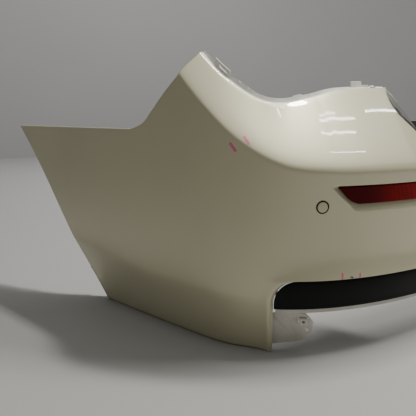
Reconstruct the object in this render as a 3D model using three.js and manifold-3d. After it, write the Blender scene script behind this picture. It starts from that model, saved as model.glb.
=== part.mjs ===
// Rear bumper cover of a passenger car: one painted skin that carries two reflectors,
// four parking sensors, a black lower trim strip with its carrier, two end brackets,
// spring nuts along the wheel arches and a pull-out towing-eye cover.
//
// Frame: +X to the right seen from behind the car, +Y towards the front of the car,
// +Z up, millimetres. A place on the skin is given by its girth, the distance along
// the plan outline from the middle (negative on the left), and its height z.

import * as THREE from 'three';
import { mergeVertices } from 'three/addons/utils/BufferGeometryUtils.js';
import Module from 'manifold-3d';

// ---- Driving dimensions --------------------------------------------------------------

const HALF_WIDTH = 925; // half of the overall width, reached at the wheel arches
const CORNER_DEPTH = 390; // front-to-back depth in which the rear turns into the side
const CORNER_POWER = 3; // squareness of that corner
const SIDE_TAPER = 0.035; // narrowing of the sides towards the rear
const TAPER_REACH = 900; // the narrowing ends this far forward
const SIDE_END = 1100; // the plan outline is worked out this far forward
const SKIN = 3; // wall thickness of the moulding
const GAP = 0.3; // clearance between touching pieces

const LIP_Z = 145; // lower edge of the painted bar, above the open middle
const LIP_REACH = 20; // height over which the bar flares out to its lower edge
const BAR_HOLLOW = 16; // depth of the hollow between the lip and the shoulder crease
const OPEN_GIRTH = 901; // the open middle ends here, where the legs begin
const OPEN_RADIUS = 42; // upper corners of the open middle

const CREASE_Z = 336; // shoulder crease across the rear
const SHOULDER_LEAN = 1; // inward lean of the shoulder above the crease
const SHOULDER_ROUND = 12; // height in which the crease rounds into the shoulder
const BAR_END = 780; // the bar's hollow fades out between these two girths
const FLANK_START = 960;

const FLANK_TUCK = 35; // how far the flank tucks in under its lower crease
const FLANK_EASE = 5; // gentle tuck that is already there at the lower crease
const FLANK_EASE_TOP = 240; // height where the gentle tuck starts
const LOWER_CREASE_Z = 108; // lower crease, and its rise towards the arch
const LOWER_CREASE_RISE = 34;

const KINK_GIRTH = 1100; // where the shoulder crease meets the wing joint
const KINK_Z = 506;
const PEAK_GIRTH = 1087; // tip between the wing joint and the lamp cut-out
const PEAK_Z = 549;
const SIDE_TOP_Z = 407; // top edge of the flank along the wing
const TOP_END_GIRTH = 1720; // its front end at the wheel arch
const ARCH_FOOT = 1395; // girth of the arch edge at the ground
const ARCH_SLOPE = 0.5;
const ARCH_BOW = 0.00075;

const BOOT_GIRTH = 540; // corner between the lamp cut-out and the boot opening
const BOOT_Z = 490;
const SILL_Z = 382; // the boot sill is level in the middle and rises to its ends
const SILL_LEVEL = 0.6;
const SILL_GIRTH = 500;
const SILL_END_Z = 394;

const RETURN_LOWER = 12; // depth of the inward returns round the edge of the skin
const RETURN_ARCH = 20;
const RETURN_SILL = 22;
const RETURN_LAMP = 9;
const RETURN_SIDE = 14;
const LAMP_FLANGE = 9; // upstand behind the lamp cut-out, and its step further in
const FLANGE_STEP = 3;

const SENSOR_GIRTHS = [-816, -300, 300, 816];
const SENSOR_Z = 277;
const SENSOR_RADIUS = 9.9;
const RING_RADIUS = 11.4;
const SENSOR_DEPTH = 24;
const SENSOR_PROUD = 0.6;
const RING_PROUD = 1;
const SLEEVE_DEPTH = 7; // length of the ring's sleeve behind the skin

const REFLECTOR = { inner: 515, outer: 786, low: 279.5, high: 311, slant: 34 };
const RECESS_BELOW = 12; // the recess is wider than the lens below and at its outer end
const RECESS_OUTER = 13;
const RECESS_ABOVE = 2;
const RECESS_INNER = 5;
const RECESS_MOUTH = 8; // depth where the recess has narrowed to the lens
const RECESS_DEPTH = 14;
const LENS_DEPTH = [3.5, 8]; // front and back of the lens inside the skin
const LENS_ROOM = 1.2; // clearance of the recess round the housing

const TRIM_LOW = 92; // black trim strip under the lip
const TRIM_HIGH = 144;
const TRIM_INSET = 9;
const TRIM_BELLY = 3;
const TRIM_WALL = 2.6;
const TRIM_FOOT = { height: 2.5, depth: 14 };
const CARRIER_LOW = 84;
const CARRIER_SHELF = { front: 12, depth: 22 };
const CARRIER_WALL = { front: 25.5, depth: 3, high: 120 };

const BRACKET_NUT = { across: 54, up: 66, inside: 28, opening: 17 };
const BRACKET_HOLE = { across: 62, up: 46, size: 8 };
const ARCH_CLIP_HEIGHTS = [70, 200, 330];

const TOW = { girth: 380, z: 222, width: 66, height: 58, squareness: 0.06, gap: 0.8 };

const PAINT = { color: 0xc9c4b4, roughness: 0.25, metalness: 0.1 };
const RED = { color: 0x5a070b, roughness: 0.2, metalness: 0 };
const BLACK = { color: 0x121414, roughness: 0.55, metalness: 0 };
const RUBBER = { color: 0x1a1a1b, roughness: 0.8, metalness: 0 };
const GREY = { color: 0x8b8a80, roughness: 0.6, metalness: 0 };
const STEEL = { color: 0x8f9294, roughness: 0.4, metalness: 0.9 };

// ---- Small helpers -------------------------------------------------------------------

const wasm = await Module();
wasm.setup();

const lerp = THREE.MathUtils.lerp;
const clamp01 = (t) => THREE.MathUtils.clamp(t, 0, 1);

function smooth(t) {
  const c = clamp01(t);
  return c * c * (3 - 2 * c);
}

// A smooth curve through a few points, giving the second value for the first.
function curveThrough(points) {
  const spline = new THREE.SplineCurve(points.map(([a, b]) => new THREE.Vector2(a, b)));
  const samples = spline.getPoints(200);
  return (a) => {
    let i = 1;
    while (i < samples.length - 1 && samples[i].x < a) {
      i += 1;
    }
    const p = samples[i - 1];
    const q = samples[i];
    return lerp(p.y, q.y, clamp01((a - p.x) / (q.x - p.x)));
  };
}

function toSolid(geometry) {
  const bare = geometry.clone();
  bare.deleteAttribute('normal');
  bare.deleteAttribute('uv');
  const merged = mergeVertices(bare, 1e-4);
  const mesh = new wasm.Mesh({
    numProp: 3,
    vertProperties: new Float32Array(merged.attributes.position.array),
    triVerts: new Uint32Array(merged.index.array),
  });
  return new wasm.Manifold(mesh);
}

function toGeometry(solid) {
  const mesh = solid.getMesh();
  const geometry = new THREE.BufferGeometry();
  geometry.setAttribute('position', new THREE.BufferAttribute(mesh.vertProperties, 3));
  geometry.setIndex(new THREE.BufferAttribute(mesh.triVerts, 1));
  geometry.computeVertexNormals();
  return geometry;
}

// Trims a piece to clear the skin, and drops the offcut on the outside.
function fitBehind(solid, gauge) {
  const bodies = solid.subtract(gauge).decompose();
  return bodies.reduce((a, b) => (b.volume() > a.volume() ? b : a));
}

// ---- The skin as a surface -----------------------------------------------------------

function sidePlanX(y) {
  const back = clamp01(1 - y / TAPER_REACH);
  return HALF_WIDTH * (1 - SIDE_TAPER * back * back);
}

// Right half of the plan outline, from the middle round the corner to the front end.
function planOutline() {
  const points = [];
  const steps = 400;
  for (let i = 0; i <= steps; i += 1) {
    const t = (i / steps) * (Math.PI / 2);
    const y = CORNER_DEPTH * (1 - Math.max(Math.cos(t), 0) ** (2 / CORNER_POWER));
    points.push(new THREE.Vector2(Math.sin(t) ** (2 / CORNER_POWER) * sidePlanX(y), y));
  }
  for (let y = CORNER_DEPTH + 10; y <= SIDE_END; y += 10) {
    points.push(new THREE.Vector2(sidePlanX(y), y));
  }
  return points;
}

const outline = planOutline();
const girths = [0];
for (let i = 1; i < outline.length; i += 1) {
  girths.push(girths[i - 1] + outline[i].distanceTo(outline[i - 1]));
}

// Plan position and outward direction at a signed girth.
function plan(girth) {
  const s = Math.abs(girth);
  const side = girth < 0 ? -1 : 1;
  let i = 1;
  while (i < girths.length - 1 && girths[i] < s) {
    i += 1;
  }
  const a = outline[i - 1];
  const b = outline[i];
  const p = a.clone().lerp(b, (s - girths[i - 1]) / (girths[i] - girths[i - 1]));
  const before = outline[Math.max(i - 2, 0)];
  const after = outline[Math.min(i + 1, outline.length - 1)];
  const t = after.clone().sub(before).normalize();
  if (s === 0) {
    t.set(1, 0);
  }
  return { x: side * p.x, y: p.y, nx: side * t.y, ny: -t.x };
}

const creaseRise = curveThrough([[BAR_END, 0], [880, 10], [962, 50], [1033, 107], [KINK_GIRTH, 170]]);

function creaseZ(s) {
  return s <= BAR_END ? CREASE_Z : CREASE_Z + creaseRise(s);
}

function lowerCreaseZ(s) {
  return LOWER_CREASE_Z + LOWER_CREASE_RISE * smooth((s - 1180) / 280);
}

function archGirth(z) {
  return ARCH_FOOT + ARCH_SLOPE * z + ARCH_BOW * z * z;
}

// Girth of the leg's edge at the open middle.
function openGirth(z) {
  const up = Math.max(z - (LIP_Z - OPEN_RADIUS), 0);
  const across = Math.sqrt(Math.max(OPEN_RADIUS ** 2 - up * up, 0));
  return OPEN_GIRTH - OPEN_RADIUS + across;
}

function barHollow(s, z) {
  const h = Math.max(z - LIP_Z, 0);
  const t = clamp01(h / (creaseZ(s) - LIP_Z));
  return BAR_HOLLOW * (1 - Math.exp(-h / LIP_REACH)) * (1 - t * t);
}

function flankTuck(s, z) {
  const crease = lowerCreaseZ(s);
  if (z < crease) {
    return FLANK_EASE + (FLANK_TUCK * (crease - z)) / crease;
  }
  const t = clamp01((FLANK_EASE_TOP - z) / (FLANK_EASE_TOP - crease));
  return FLANK_EASE * t * t;
}

// How far the skin lies inside the plan outline.
function hollow(girth, z) {
  const s = Math.abs(girth);
  const rise = z - creaseZ(Math.min(s, KINK_GIRTH));
  if (rise > 0 && s <= KINK_GIRTH) {
    return (SHOULDER_LEAN * rise * rise) / (rise + SHOULDER_ROUND);
  }
  const toFlank = smooth((s - BAR_END) / (FLANK_START - BAR_END));
  return lerp(barHollow(s, z), flankTuck(s, z), toFlank);
}

// Point at a fixed distance inside the plan outline.
function insetPoint(girth, z, inset) {
  const p = plan(girth);
  return new THREE.Vector3(p.x - p.nx * inset, p.y - p.ny * inset, z);
}

// Point on the skin, or a distance inside it.
function skinPoint(girth, z, inside = 0) {
  return insetPoint(girth, z, hollow(girth, z) + inside);
}

// ---- Sheets and slabs ----------------------------------------------------------------

class Sheet {
  constructor() {
    this.points = [];
    this.places = [];
    this.faces = [];
    this.lookup = new Map();
  }

  vertex(point, place) {
    const key = point.toArray().map((v) => Math.round(v * 200)).join();
    if (!this.lookup.has(key)) {
      this.lookup.set(key, this.points.length);
      this.points.push(point);
      this.places.push(place);
    }
    return this.lookup.get(key);
  }

  quad(a, b, c, d) {
    for (const face of [[a, b, c], [a, c, d]]) {
      if (new Set(face).size === 3) {
        this.faces.push(face);
      }
    }
  }

  // Rows run upwards, and each row runs from left to right.
  grid(rows) {
    const ids = rows.map((row) => row.map(([g, z]) => this.vertex(skinPoint(g, z), [g, z])));
    for (let r = 1; r < ids.length; r += 1) {
      for (let c = 1; c < ids[r].length; c += 1) {
        this.quad(ids[r - 1][c - 1], ids[r - 1][c], ids[r][c], ids[r][c - 1]);
      }
    }
  }

  openEdges() {
    const seen = new Map();
    for (const [a, b, c] of this.faces) {
      for (const [p, q] of [[a, b], [b, c], [c, a]]) {
        seen.set(`${p},${q}`, [p, q]);
      }
    }
    return [...seen.values()].filter(([p, q]) => !seen.has(`${q},${p}`));
  }

  normals() {
    const sums = this.points.map(() => new THREE.Vector3());
    for (const face of this.faces) {
      const [a, b, c] = face.map((i) => this.points[i]);
      const n = b.clone().sub(a).cross(c.clone().sub(a)).normalize();
      face.forEach((i) => sums[i].add(n));
    }
    return sums.map((n) => n.normalize());
  }

  // A closed solid between the sheet moved out by one distance and in by another.
  thicken(out, inward) {
    const normals = this.normals();
    const front = this.points.map((p, i) => p.clone().addScaledVector(normals[i], out));
    const back = this.points.map((p, i) => p.clone().addScaledVector(normals[i], -inward));
    const count = front.length;
    const index = [];
    for (const [a, b, c] of this.faces) {
      index.push(a, b, c, a + count, c + count, b + count);
    }
    for (const [a, b] of this.openEdges()) {
      index.push(b, a, a + count, b, a + count, b + count);
    }
    const geometry = new THREE.BufferGeometry();
    geometry.setFromPoints([...front, ...back]);
    geometry.setIndex(index);
    return toSolid(geometry);
  }
}

// A closed solid from a front and a back grid. place(u, v, w) gives a point, with u from
// left to right, v upwards and w 0 on the front and 1 on the back.
function slab(columns, rows, place) {
  const points = [];
  const index = [];
  const id = (i, j, w) => w * (columns + 1) * (rows + 1) + j * (columns + 1) + i;
  for (const w of [0, 1]) {
    for (let j = 0; j <= rows; j += 1) {
      for (let i = 0; i <= columns; i += 1) {
        points.push(place(i / columns, j / rows, w));
      }
    }
  }
  const face = (a, b, c, d) => index.push(a, b, c, a, c, d);
  for (let j = 0; j < rows; j += 1) {
    for (let i = 0; i < columns; i += 1) {
      face(id(i, j, 0), id(i + 1, j, 0), id(i + 1, j + 1, 0), id(i, j + 1, 0));
      face(id(i, j, 1), id(i, j + 1, 1), id(i + 1, j + 1, 1), id(i + 1, j, 1));
    }
  }
  for (let i = 0; i < columns; i += 1) {
    face(id(i, 0, 1), id(i + 1, 0, 1), id(i + 1, 0, 0), id(i, 0, 0));
    face(id(i, rows, 0), id(i + 1, rows, 0), id(i + 1, rows, 1), id(i, rows, 1));
  }
  for (let j = 0; j < rows; j += 1) {
    face(id(0, j, 1), id(0, j, 0), id(0, j + 1, 0), id(0, j + 1, 1));
    face(id(columns, j, 0), id(columns, j, 1), id(columns, j + 1, 1), id(columns, j + 1, 0));
  }
  const geometry = new THREE.BufferGeometry().setFromPoints(points);
  geometry.setIndex(index);
  return toSolid(geometry);
}

// Frame on the skin whose +Z points outwards and whose +Y points up.
function seatFrame(girth, z) {
  const p = plan(girth);
  const out = new THREE.Vector3(p.nx, p.ny, 0).normalize();
  const up = new THREE.Vector3(0, 0, 1);
  const across = up.clone().cross(out);
  const frame = new THREE.Matrix4().makeBasis(across, up, out);
  return frame.setPosition(skinPoint(girth, z));
}

function turned(profile, segments, frame) {
  const points = profile.map(([r, h]) => new THREE.Vector2(r, h));
  const geometry = new THREE.LatheGeometry([...points, points[0]], segments);
  geometry.rotateX(Math.PI / 2);
  geometry.applyMatrix4(frame);
  return toSolid(geometry);
}

function box(width, height, depth, frame, x = 0, y = 0, z = 0) {
  const geometry = new THREE.BoxGeometry(width, height, depth);
  geometry.translate(x, y, z);
  geometry.applyMatrix4(frame);
  return toSolid(geometry);
}

// ---- Skin ----------------------------------------------------------------------------

// Columns of the skin's grid: girths on the crease and along the flank's top edge.
const OPEN_START = OPEN_GIRTH - OPEN_RADIUS;
const REAR_GIRTHS = [0, 150, 300, 420, 480, 507, 533, 560, 630, 700, 760, 820, OPEN_START];
const CORNER_GIRTHS = [915, 950, 990, 1030, 1065, KINK_GIRTH];
const FLANK_GIRTHS = [1130, 1168, 1200, 1240, 1360, 1480, 1600, TOP_END_GIRTH];
const HALF_COLUMNS = [...REAR_GIRTHS, ...CORNER_GIRTHS, ...FLANK_GIRTHS];
const BOOT_CUT_COLUMNS = [480, 560];

const BAR_ROWS = [0, 0.07, 0.16, 0.3, 0.48, 0.66, 0.84, 1];
const SHOULDER_ROWS = [0, 0.12, 0.3, 0.55, 0.78, 1];
const LEG_ROWS = [0, 0.4, 0.8, 1];
const CORNER_ROWS = [0.41, 0.62, 0.8, 0.93, 1];

const RAMP_END = 1240;
const flankRamp = curveThrough([
  [KINK_GIRTH, KINK_Z], [1130, 479], [1168, 444], [1200, 419], [RAMP_END, SIDE_TOP_Z],
]);
const flankTop = (s) => (s < RAMP_END ? flankRamp(s) : SIDE_TOP_Z);
const lampCut = curveThrough([
  [BOOT_GIRTH, BOOT_Z], [700, 483], [800, 467], [890, 457], [960, 466], [1030, 503], [PEAK_GIRTH, PEAK_Z],
]);
const bootCut = new THREE.CubicBezierCurve(
  new THREE.Vector2(SILL_GIRTH, SILL_END_Z),
  new THREE.Vector2(SILL_GIRTH + 80, SILL_END_Z + 11),
  new THREE.Vector2(BOOT_GIRTH + 45, BOOT_Z - 35),
  new THREE.Vector2(BOOT_GIRTH, BOOT_Z),
);

// Top edge of the shoulder above one column: boot sill, boot cut or lamp cut.
function shoulderTop(station) {
  const [sillEnd, bootEnd] = BOOT_CUT_COLUMNS;
  if (station <= sillEnd) {
    const t = station / sillEnd;
    const rise = Math.max(t - SILL_LEVEL, 0) / (1 - SILL_LEVEL);
    return [SILL_GIRTH * t, lerp(SILL_Z, SILL_END_Z, rise * rise)];
  }
  if (station < bootEnd) {
    return bootCut.getPoint((station - sillEnd) / (bootEnd - sillEnd)).toArray();
  }
  const t = (station - bootEnd) / (KINK_GIRTH - bootEnd);
  const girth = lerp(BOOT_GIRTH, PEAK_GIRTH, t);
  return [girth, lampCut(girth)];
}

// Girth of a column at a height: flank columns slant along with the wheel arch, and
// columns of a leg lean to the edge of the open middle.
function columnGirth(station, z) {
  if (station > KINK_GIRTH) {
    const t = (station - KINK_GIRTH) / (TOP_END_GIRTH - KINK_GIRTH);
    return lerp(KINK_GIRTH, archGirth(z), t);
  }
  if (z < LIP_Z) {
    const t = (KINK_GIRTH - station) / (KINK_GIRTH - OPEN_START);
    return lerp(KINK_GIRTH, openGirth(z), t);
  }
  return station;
}

function bothSides(stations, place) {
  const right = stations.map(place);
  const left = right.map(([g, z]) => [-g, z]).reverse();
  return stations[0] === 0 ? [...left.slice(0, -1), ...right] : [left, right];
}

function barPlace(station, row) {
  const top = station <= KINK_GIRTH ? creaseZ(station) : flankTop(station);
  const z = lerp(LIP_Z, top, row);
  return [columnGirth(station, z), z];
}

function shoulderPlace(station, row) {
  const [topGirth, topZ] = shoulderTop(station);
  return [lerp(station, topGirth, row), lerp(creaseZ(station), topZ, row)];
}

function legPlace(station, row, upper) {
  const rough = columnGirth(station, LOWER_CREASE_Z);
  const crease = lowerCreaseZ(rough);
  const z = upper ? lerp(crease, LIP_Z, row) : crease * row;
  return [columnGirth(station, z), z];
}

// How deep the edge of the skin turns in, by where it is.
function returnDepth([girth, z]) {
  const s = Math.abs(girth);
  if (s > archGirth(z) - 2) {
    return RETURN_ARCH;
  }
  if (z <= LIP_Z + 1) {
    return RETURN_LOWER;
  }
  if (s < BOOT_GIRTH + 40 && z < BOOT_Z - 1) {
    return RETURN_SILL;
  }
  return s <= PEAK_GIRTH ? RETURN_LAMP : RETURN_SIDE;
}

function onLampCut([girth, z]) {
  const s = Math.abs(girth);
  return s >= BOOT_GIRTH && s <= PEAK_GIRTH && Math.abs(z - lampCut(s)) < 1;
}

function skinSheet() {
  const sheet = new Sheet();
  sheet.grid(BAR_ROWS.map((row) => bothSides(HALF_COLUMNS, (st) => barPlace(st, row))));
  const shoulderColumns = [...REAR_GIRTHS, ...CORNER_GIRTHS];
  sheet.grid(SHOULDER_ROWS.map((row) => bothSides(shoulderColumns, (st) => shoulderPlace(st, row))));
  const legColumns = HALF_COLUMNS.filter((station) => station >= OPEN_START);
  const legRows = [
    ...LEG_ROWS.map((row) => bothSides(legColumns, (st) => legPlace(st, row, false))),
    ...CORNER_ROWS.map((row) => bothSides(legColumns, (st) => legPlace(st, row, true))),
  ];
  sheet.grid(legRows.map((row) => row[0]));
  sheet.grid(legRows.map((row) => row[1]));
  addReturns(sheet);
  return sheet;
}

// The upstand dies away towards the tip and the boot corner.
function lampFlangeRise(girth) {
  const fromTip = (PEAK_GIRTH - Math.abs(girth)) / 60;
  const fromBoot = (Math.abs(girth) - BOOT_GIRTH - 100) / 190;
  return LAMP_FLANGE * lerp(0.3, 1, smooth(Math.min(fromTip, fromBoot)));
}

// Turns every free edge inwards, and stands a flange up behind the lamp cut-outs.
function addReturns(sheet) {
  const edges = sheet.openEdges();
  const turnedIn = (i, extra, rise) => {
    const [g, z] = sheet.places[i];
    const inset = hollow(g, z) + returnDepth([g, z]) + extra;
    return sheet.vertex(insetPoint(g, z + rise, inset), [g, z + rise]);
  };
  for (const [a, b] of edges) {
    sheet.quad(b, a, turnedIn(a, 0, 0), turnedIn(b, 0, 0));
    if (onLampCut(sheet.places[a]) && onLampCut(sheet.places[b])) {
      const [riseA, riseB] = [a, b].map((i) => lampFlangeRise(sheet.places[i][0]));
      const top = [turnedIn(a, FLANGE_STEP, riseA), turnedIn(b, FLANGE_STEP, riseB)];
      sheet.quad(turnedIn(b, 0, 0), turnedIn(a, 0, 0), ...top);
    }
  }
}

// ---- Reflectors ----------------------------------------------------------------------

// Outer end of the reflector: it slants in towards its lower edge.
function reflectorOuter(z, grow) {
  const t = Math.min((REFLECTOR.high - z) / (REFLECTOR.high - REFLECTOR.low), 1);
  return REFLECTOR.outer + grow - REFLECTOR.slant * t;
}

// A slab with the reflector's outline, grown by the given amounts at front and back.
function reflectorSlab(side, front, back) {
  return slab(10, 2, (u, v, w) => {
    const shape = w === 0 ? front : back;
    const z = lerp(REFLECTOR.low - shape.below, REFLECTOR.high + shape.above, v);
    const outer = reflectorOuter(z, shape.outer);
    const inner = REFLECTOR.inner - shape.inner;
    const girth = side < 0 ? lerp(-outer, -inner, u) : lerp(inner, outer, u);
    return skinPoint(girth, z, shape.inside);
  });
}

function grown(by, inside) {
  return { below: by, above: by, outer: by, inner: by, inside };
}

function reflectorRecess(side) {
  const wide = { below: RECESS_BELOW, above: RECESS_ABOVE, outer: RECESS_OUTER, inner: RECESS_INNER };
  const pan = {
    below: wide.below + SKIN, above: wide.above + SKIN, outer: wide.outer + SKIN, inner: wide.inner + SKIN,
  };
  const pocket = (inside) => grown(LENS_ROOM, inside);
  return {
    block: reflectorSlab(side, { ...pan, inside: 1 }, { ...pan, inside: RECESS_DEPTH + SKIN }),
    mouth: reflectorSlab(side, { ...wide, inside: -12 }, pocket(RECESS_MOUTH)),
    pocket: reflectorSlab(side, pocket(RECESS_MOUTH - 1), pocket(RECESS_DEPTH)),
  };
}

function reflectorLens(side) {
  const [front, back] = LENS_DEPTH;
  return reflectorSlab(side, grown(0.4, front), grown(0.4, back));
}

function reflectorHousing(side) {
  return reflectorSlab(side, grown(0, LENS_DEPTH[1] + GAP), grown(0, RECESS_DEPTH - GAP));
}

// ---- Parking sensors -----------------------------------------------------------------

const SENSOR_SIDES = 24;

function sensorHole(girth) {
  const wide = RING_RADIUS + 0.6;
  const narrow = RING_RADIUS - 0.4;
  const profile = [[0, -30], [narrow, -30], [narrow, -1], [wide, -1], [wide, 12], [0, 12]];
  return turned(profile, SENSOR_SIDES, seatFrame(girth, SENSOR_Z));
}

function sensorBody(girth) {
  const neck = SENSOR_RADIUS - 0.4;
  const profile = [
    [0, -SENSOR_DEPTH], [neck, -SENSOR_DEPTH], [neck, -2],
    [SENSOR_RADIUS, -2], [SENSOR_RADIUS, SENSOR_PROUD], [0, SENSOR_PROUD],
  ];
  return turned(profile, SENSOR_SIDES, seatFrame(girth, SENSOR_Z));
}

function sensorRing(girth) {
  const inner = SENSOR_RADIUS + GAP;
  const sleeve = RING_RADIUS - 0.7;
  const profile = [
    [inner, -SLEEVE_DEPTH], [sleeve, -SLEEVE_DEPTH], [sleeve, -0.6],
    [RING_RADIUS, -0.6], [RING_RADIUS, RING_PROUD], [inner, RING_PROUD],
  ];
  return turned(profile, SENSOR_SIDES, seatFrame(girth, SENSOR_Z));
}

// Collar behind the skin that clips round the sensor, with its plug socket on top.
function sensorHolder(girth, gauge) {
  const frame = seatFrame(girth, SENSOR_Z);
  const plate = box(46, 40, 12, frame, 0, 0, -7);
  const collar = turned([[0, -21], [17, -21], [17, -8], [0, -8]], SENSOR_SIDES, frame);
  const socket = box(16, 20, 11, frame, 0, 20, -17);
  const bore = RING_RADIUS + 0.2;
  const hole = turned([[0, -40], [bore, -40], [bore, 10], [0, 10]], SENSOR_SIDES, frame);
  return fitBehind(plate.add(collar).add(socket).subtract(hole), gauge);
}

// ---- Lower trim ----------------------------------------------------------------------

// Girth where the trim ends, following the rounded corner of the open middle.
function trimEnd(z) {
  return openGirth(Math.min(z + 0.8, LIP_Z)) - 1;
}

function trimStrip() {
  const wall = slab(30, 5, (u, v, w) => {
    const z = lerp(TRIM_LOW, TRIM_HIGH, Math.sin((v * Math.PI) / 2));
    const belly = TRIM_BELLY * Math.sin(v * Math.PI);
    return insetPoint(lerp(-trimEnd(z), trimEnd(z), u), z, TRIM_INSET - belly + w * TRIM_WALL);
  });
  const foot = slab(30, 1, (u, v, w) => {
    const z = lerp(TRIM_LOW, TRIM_LOW + TRIM_FOOT.height, v);
    return insetPoint(lerp(-trimEnd(z), trimEnd(z), u), z, TRIM_INSET + 1 + w * TRIM_FOOT.depth);
  });
  return wall.add(foot);
}

function trimCarrier() {
  const end = OPEN_GIRTH - 4;
  const shelf = slab(30, 1, (u, v, w) => {
    const z = lerp(CARRIER_LOW, TRIM_LOW - GAP, v);
    return insetPoint(lerp(-end, end, u), z, CARRIER_SHELF.front + w * CARRIER_SHELF.depth);
  });
  const wall = slab(30, 1, (u, v, w) => {
    const z = lerp(CARRIER_LOW, CARRIER_WALL.high, v);
    return insetPoint(lerp(-end, end, u), z, CARRIER_WALL.front + w * CARRIER_WALL.depth);
  });
  return shelf.add(wall);
}

// ---- End brackets --------------------------------------------------------------------

// Frame at the foot of a leg: X towards the middle, Y up, Z outwards.
function legFrame(side) {
  const p = plan(side * (OPEN_GIRTH - 1));
  const out = new THREE.Vector3(p.nx, p.ny, 0).normalize();
  const up = new THREE.Vector3(0, 0, 1);
  const across = up.clone().cross(out).multiplyScalar(-side);
  return { origin: new THREE.Vector3(p.x, p.y, 0), across, up, out };
}

// Folded plate beside the leg: one face behind the leg's edge, one with square holes.
function endBracket(side) {
  const { origin, across, up, out } = legFrame(side);
  const at = (t, z, inside) => origin.clone()
    .addScaledVector(across, t)
    .addScaledVector(up, z)
    .addScaledVector(out, -inside);
  const sheet = new Sheet();
  const corners = [
    [-3, 80, 20], [-3, 10, 46], [20, 82, 25], [48, 14, 56],
    [58, 81, 22], [72, 64, 26], [70, 44, 32], [62, 26, 44],
  ];
  const ids = corners.map(([t, z, inside]) => sheet.vertex(at(t, z, inside), [t, z]));
  const faces = [[1, 3, 0], [0, 3, 2], [2, 3, 7], [2, 7, 6], [2, 6, 5], [2, 5, 4]];
  for (const [a, b, c] of faces) {
    sheet.faces.push(side < 0 ? [ids[a], ids[b], ids[c]] : [ids[a], ids[c], ids[b]]);
  }
  const plate = sheet.thicken(0, SKIN);
  return plate.subtract(bracketHole(side, BRACKET_NUT, BRACKET_NUT.opening))
    .subtract(bracketHole(side, BRACKET_HOLE, BRACKET_HOLE.size));
}

// Upright frame at a place on the bracket, with +Z outwards.
function bracketFrame(side, place, inside) {
  const { origin, across, up, out } = legFrame(side);
  const frame = new THREE.Matrix4().makeBasis(across.clone().multiplyScalar(-side), up, out);
  const centre = origin.clone().addScaledVector(across, place.across).addScaledVector(up, place.up);
  return frame.setPosition(centre.addScaledVector(out, -inside));
}

function bracketHole(side, place, size) {
  return box(size, size, 120, bracketFrame(side, place, 0));
}

function clipNut(side) {
  const frame = bracketFrame(side, BRACKET_NUT, BRACKET_NUT.inside);
  const hole = turned([[0, -20], [2.6, -20], [2.6, 20], [0, 20]], 16, frame);
  return box(15, 12, 16, frame).subtract(hole);
}

// ---- Wheel-arch spring nuts ----------------------------------------------------------

// Round cutter along the frame's Y axis.
function turnedAcross(radius, length, frame, depth) {
  const geometry = new THREE.CylinderGeometry(radius, radius, length, 12);
  geometry.translate(0, 0, depth);
  geometry.applyMatrix4(frame);
  return toSolid(geometry);
}

function archClip(side, z, gauge) {
  const girth = side * archGirth(z);
  const [low, high] = [z - 10, z + 10].map((h) => skinPoint(side * archGirth(h), h));
  const along = high.sub(low).normalize();
  const p = plan(girth);
  const out = new THREE.Vector3(p.nx, p.ny, 0).normalize();
  const face = out.clone().cross(along).normalize();
  const frame = new THREE.Matrix4().makeBasis(along, face, out);
  frame.setPosition(skinPoint(girth, z));
  const block = box(15, 9, 16, frame, 0, 0, -17);
  const slot = box(20, 5.4, 17, frame, 0, 0, -13.5);
  const bore = turnedAcross(2.4, 20, frame, -15);
  return fitBehind(block.subtract(slot).subtract(bore), gauge);
}

// ---- Towing-eye cover ----------------------------------------------------------------

function towSlab(grow, front, back) {
  const halfWidth = TOW.width / 2 + grow;
  const halfHeight = TOW.height / 2 + grow;
  return slab(6, 6, (u, v, w) => {
    const x = 2 * u - 1;
    const y = 2 * v - 1;
    const round = 1 - TOW.squareness * x * x * y * y;
    const girth = TOW.girth + x * halfWidth * round;
    return skinPoint(girth, TOW.z + y * halfHeight * round, w === 0 ? front : back);
  });
}

function towCover() {
  const frame = seatFrame(TOW.girth, TOW.z);
  let cover = towSlab(0, 0, SKIN);
  for (const [x, y] of [[-22, 0], [22, 0], [0, 19]]) {
    cover = cover.add(box(8, 8, 14, frame, x, y, -9));
  }
  return cover;
}

// Frame bonded behind the skin, which the cover's legs run through.
function towFrame(gauge) {
  const frame = seatFrame(TOW.girth, TOW.z);
  const outer = towSlab(9, SKIN - 1, SKIN + 4);
  const inner = towSlab(-2, -5, 30);
  const anchor = box(18, 8, 8, frame, 0, -36, -9);
  return fitBehind(outer.subtract(inner).add(anchor), gauge);
}

// ---- Assembly ------------------------------------------------------------------------

const model = new THREE.Group();

function addPart(name, solid, look) {
  const mesh = new THREE.Mesh(toGeometry(solid), new THREE.MeshStandardMaterial(look));
  mesh.name = name;
  model.add(mesh);
}

// A block on the flange behind the lamp cut-out, between two girths and two rises.
function flangeBlock(side, [s0, s1], [rise0, rise1], depth) {
  const [g0, g1] = side < 0 ? [-s1, -s0] : [s0, s1];
  return slab(4, 1, (u, v, w) => {
    const girth = lerp(g0, g1, u);
    const edge = lampCut(Math.abs(girth));
    const inset = hollow(girth, edge) + RETURN_LAMP + lerp(depth[0], depth[1], w);
    return insetPoint(girth, edge + lerp(rise0, rise1, v), inset);
  });
}

// Slotted locating tab and upright tab on that flange.
function lampTabs(side) {
  const tab = flangeBlock(side, [1021, 1056], [-2, 16], [1, 4]);
  const slot = flangeBlock(side, [1029, 1048], [6, 11], [-8, 20]);
  const post = flangeBlock(side, [612, 660], [-4, 14], [2, 5]);
  return { add: [tab, post], cut: [slot] };
}

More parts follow.
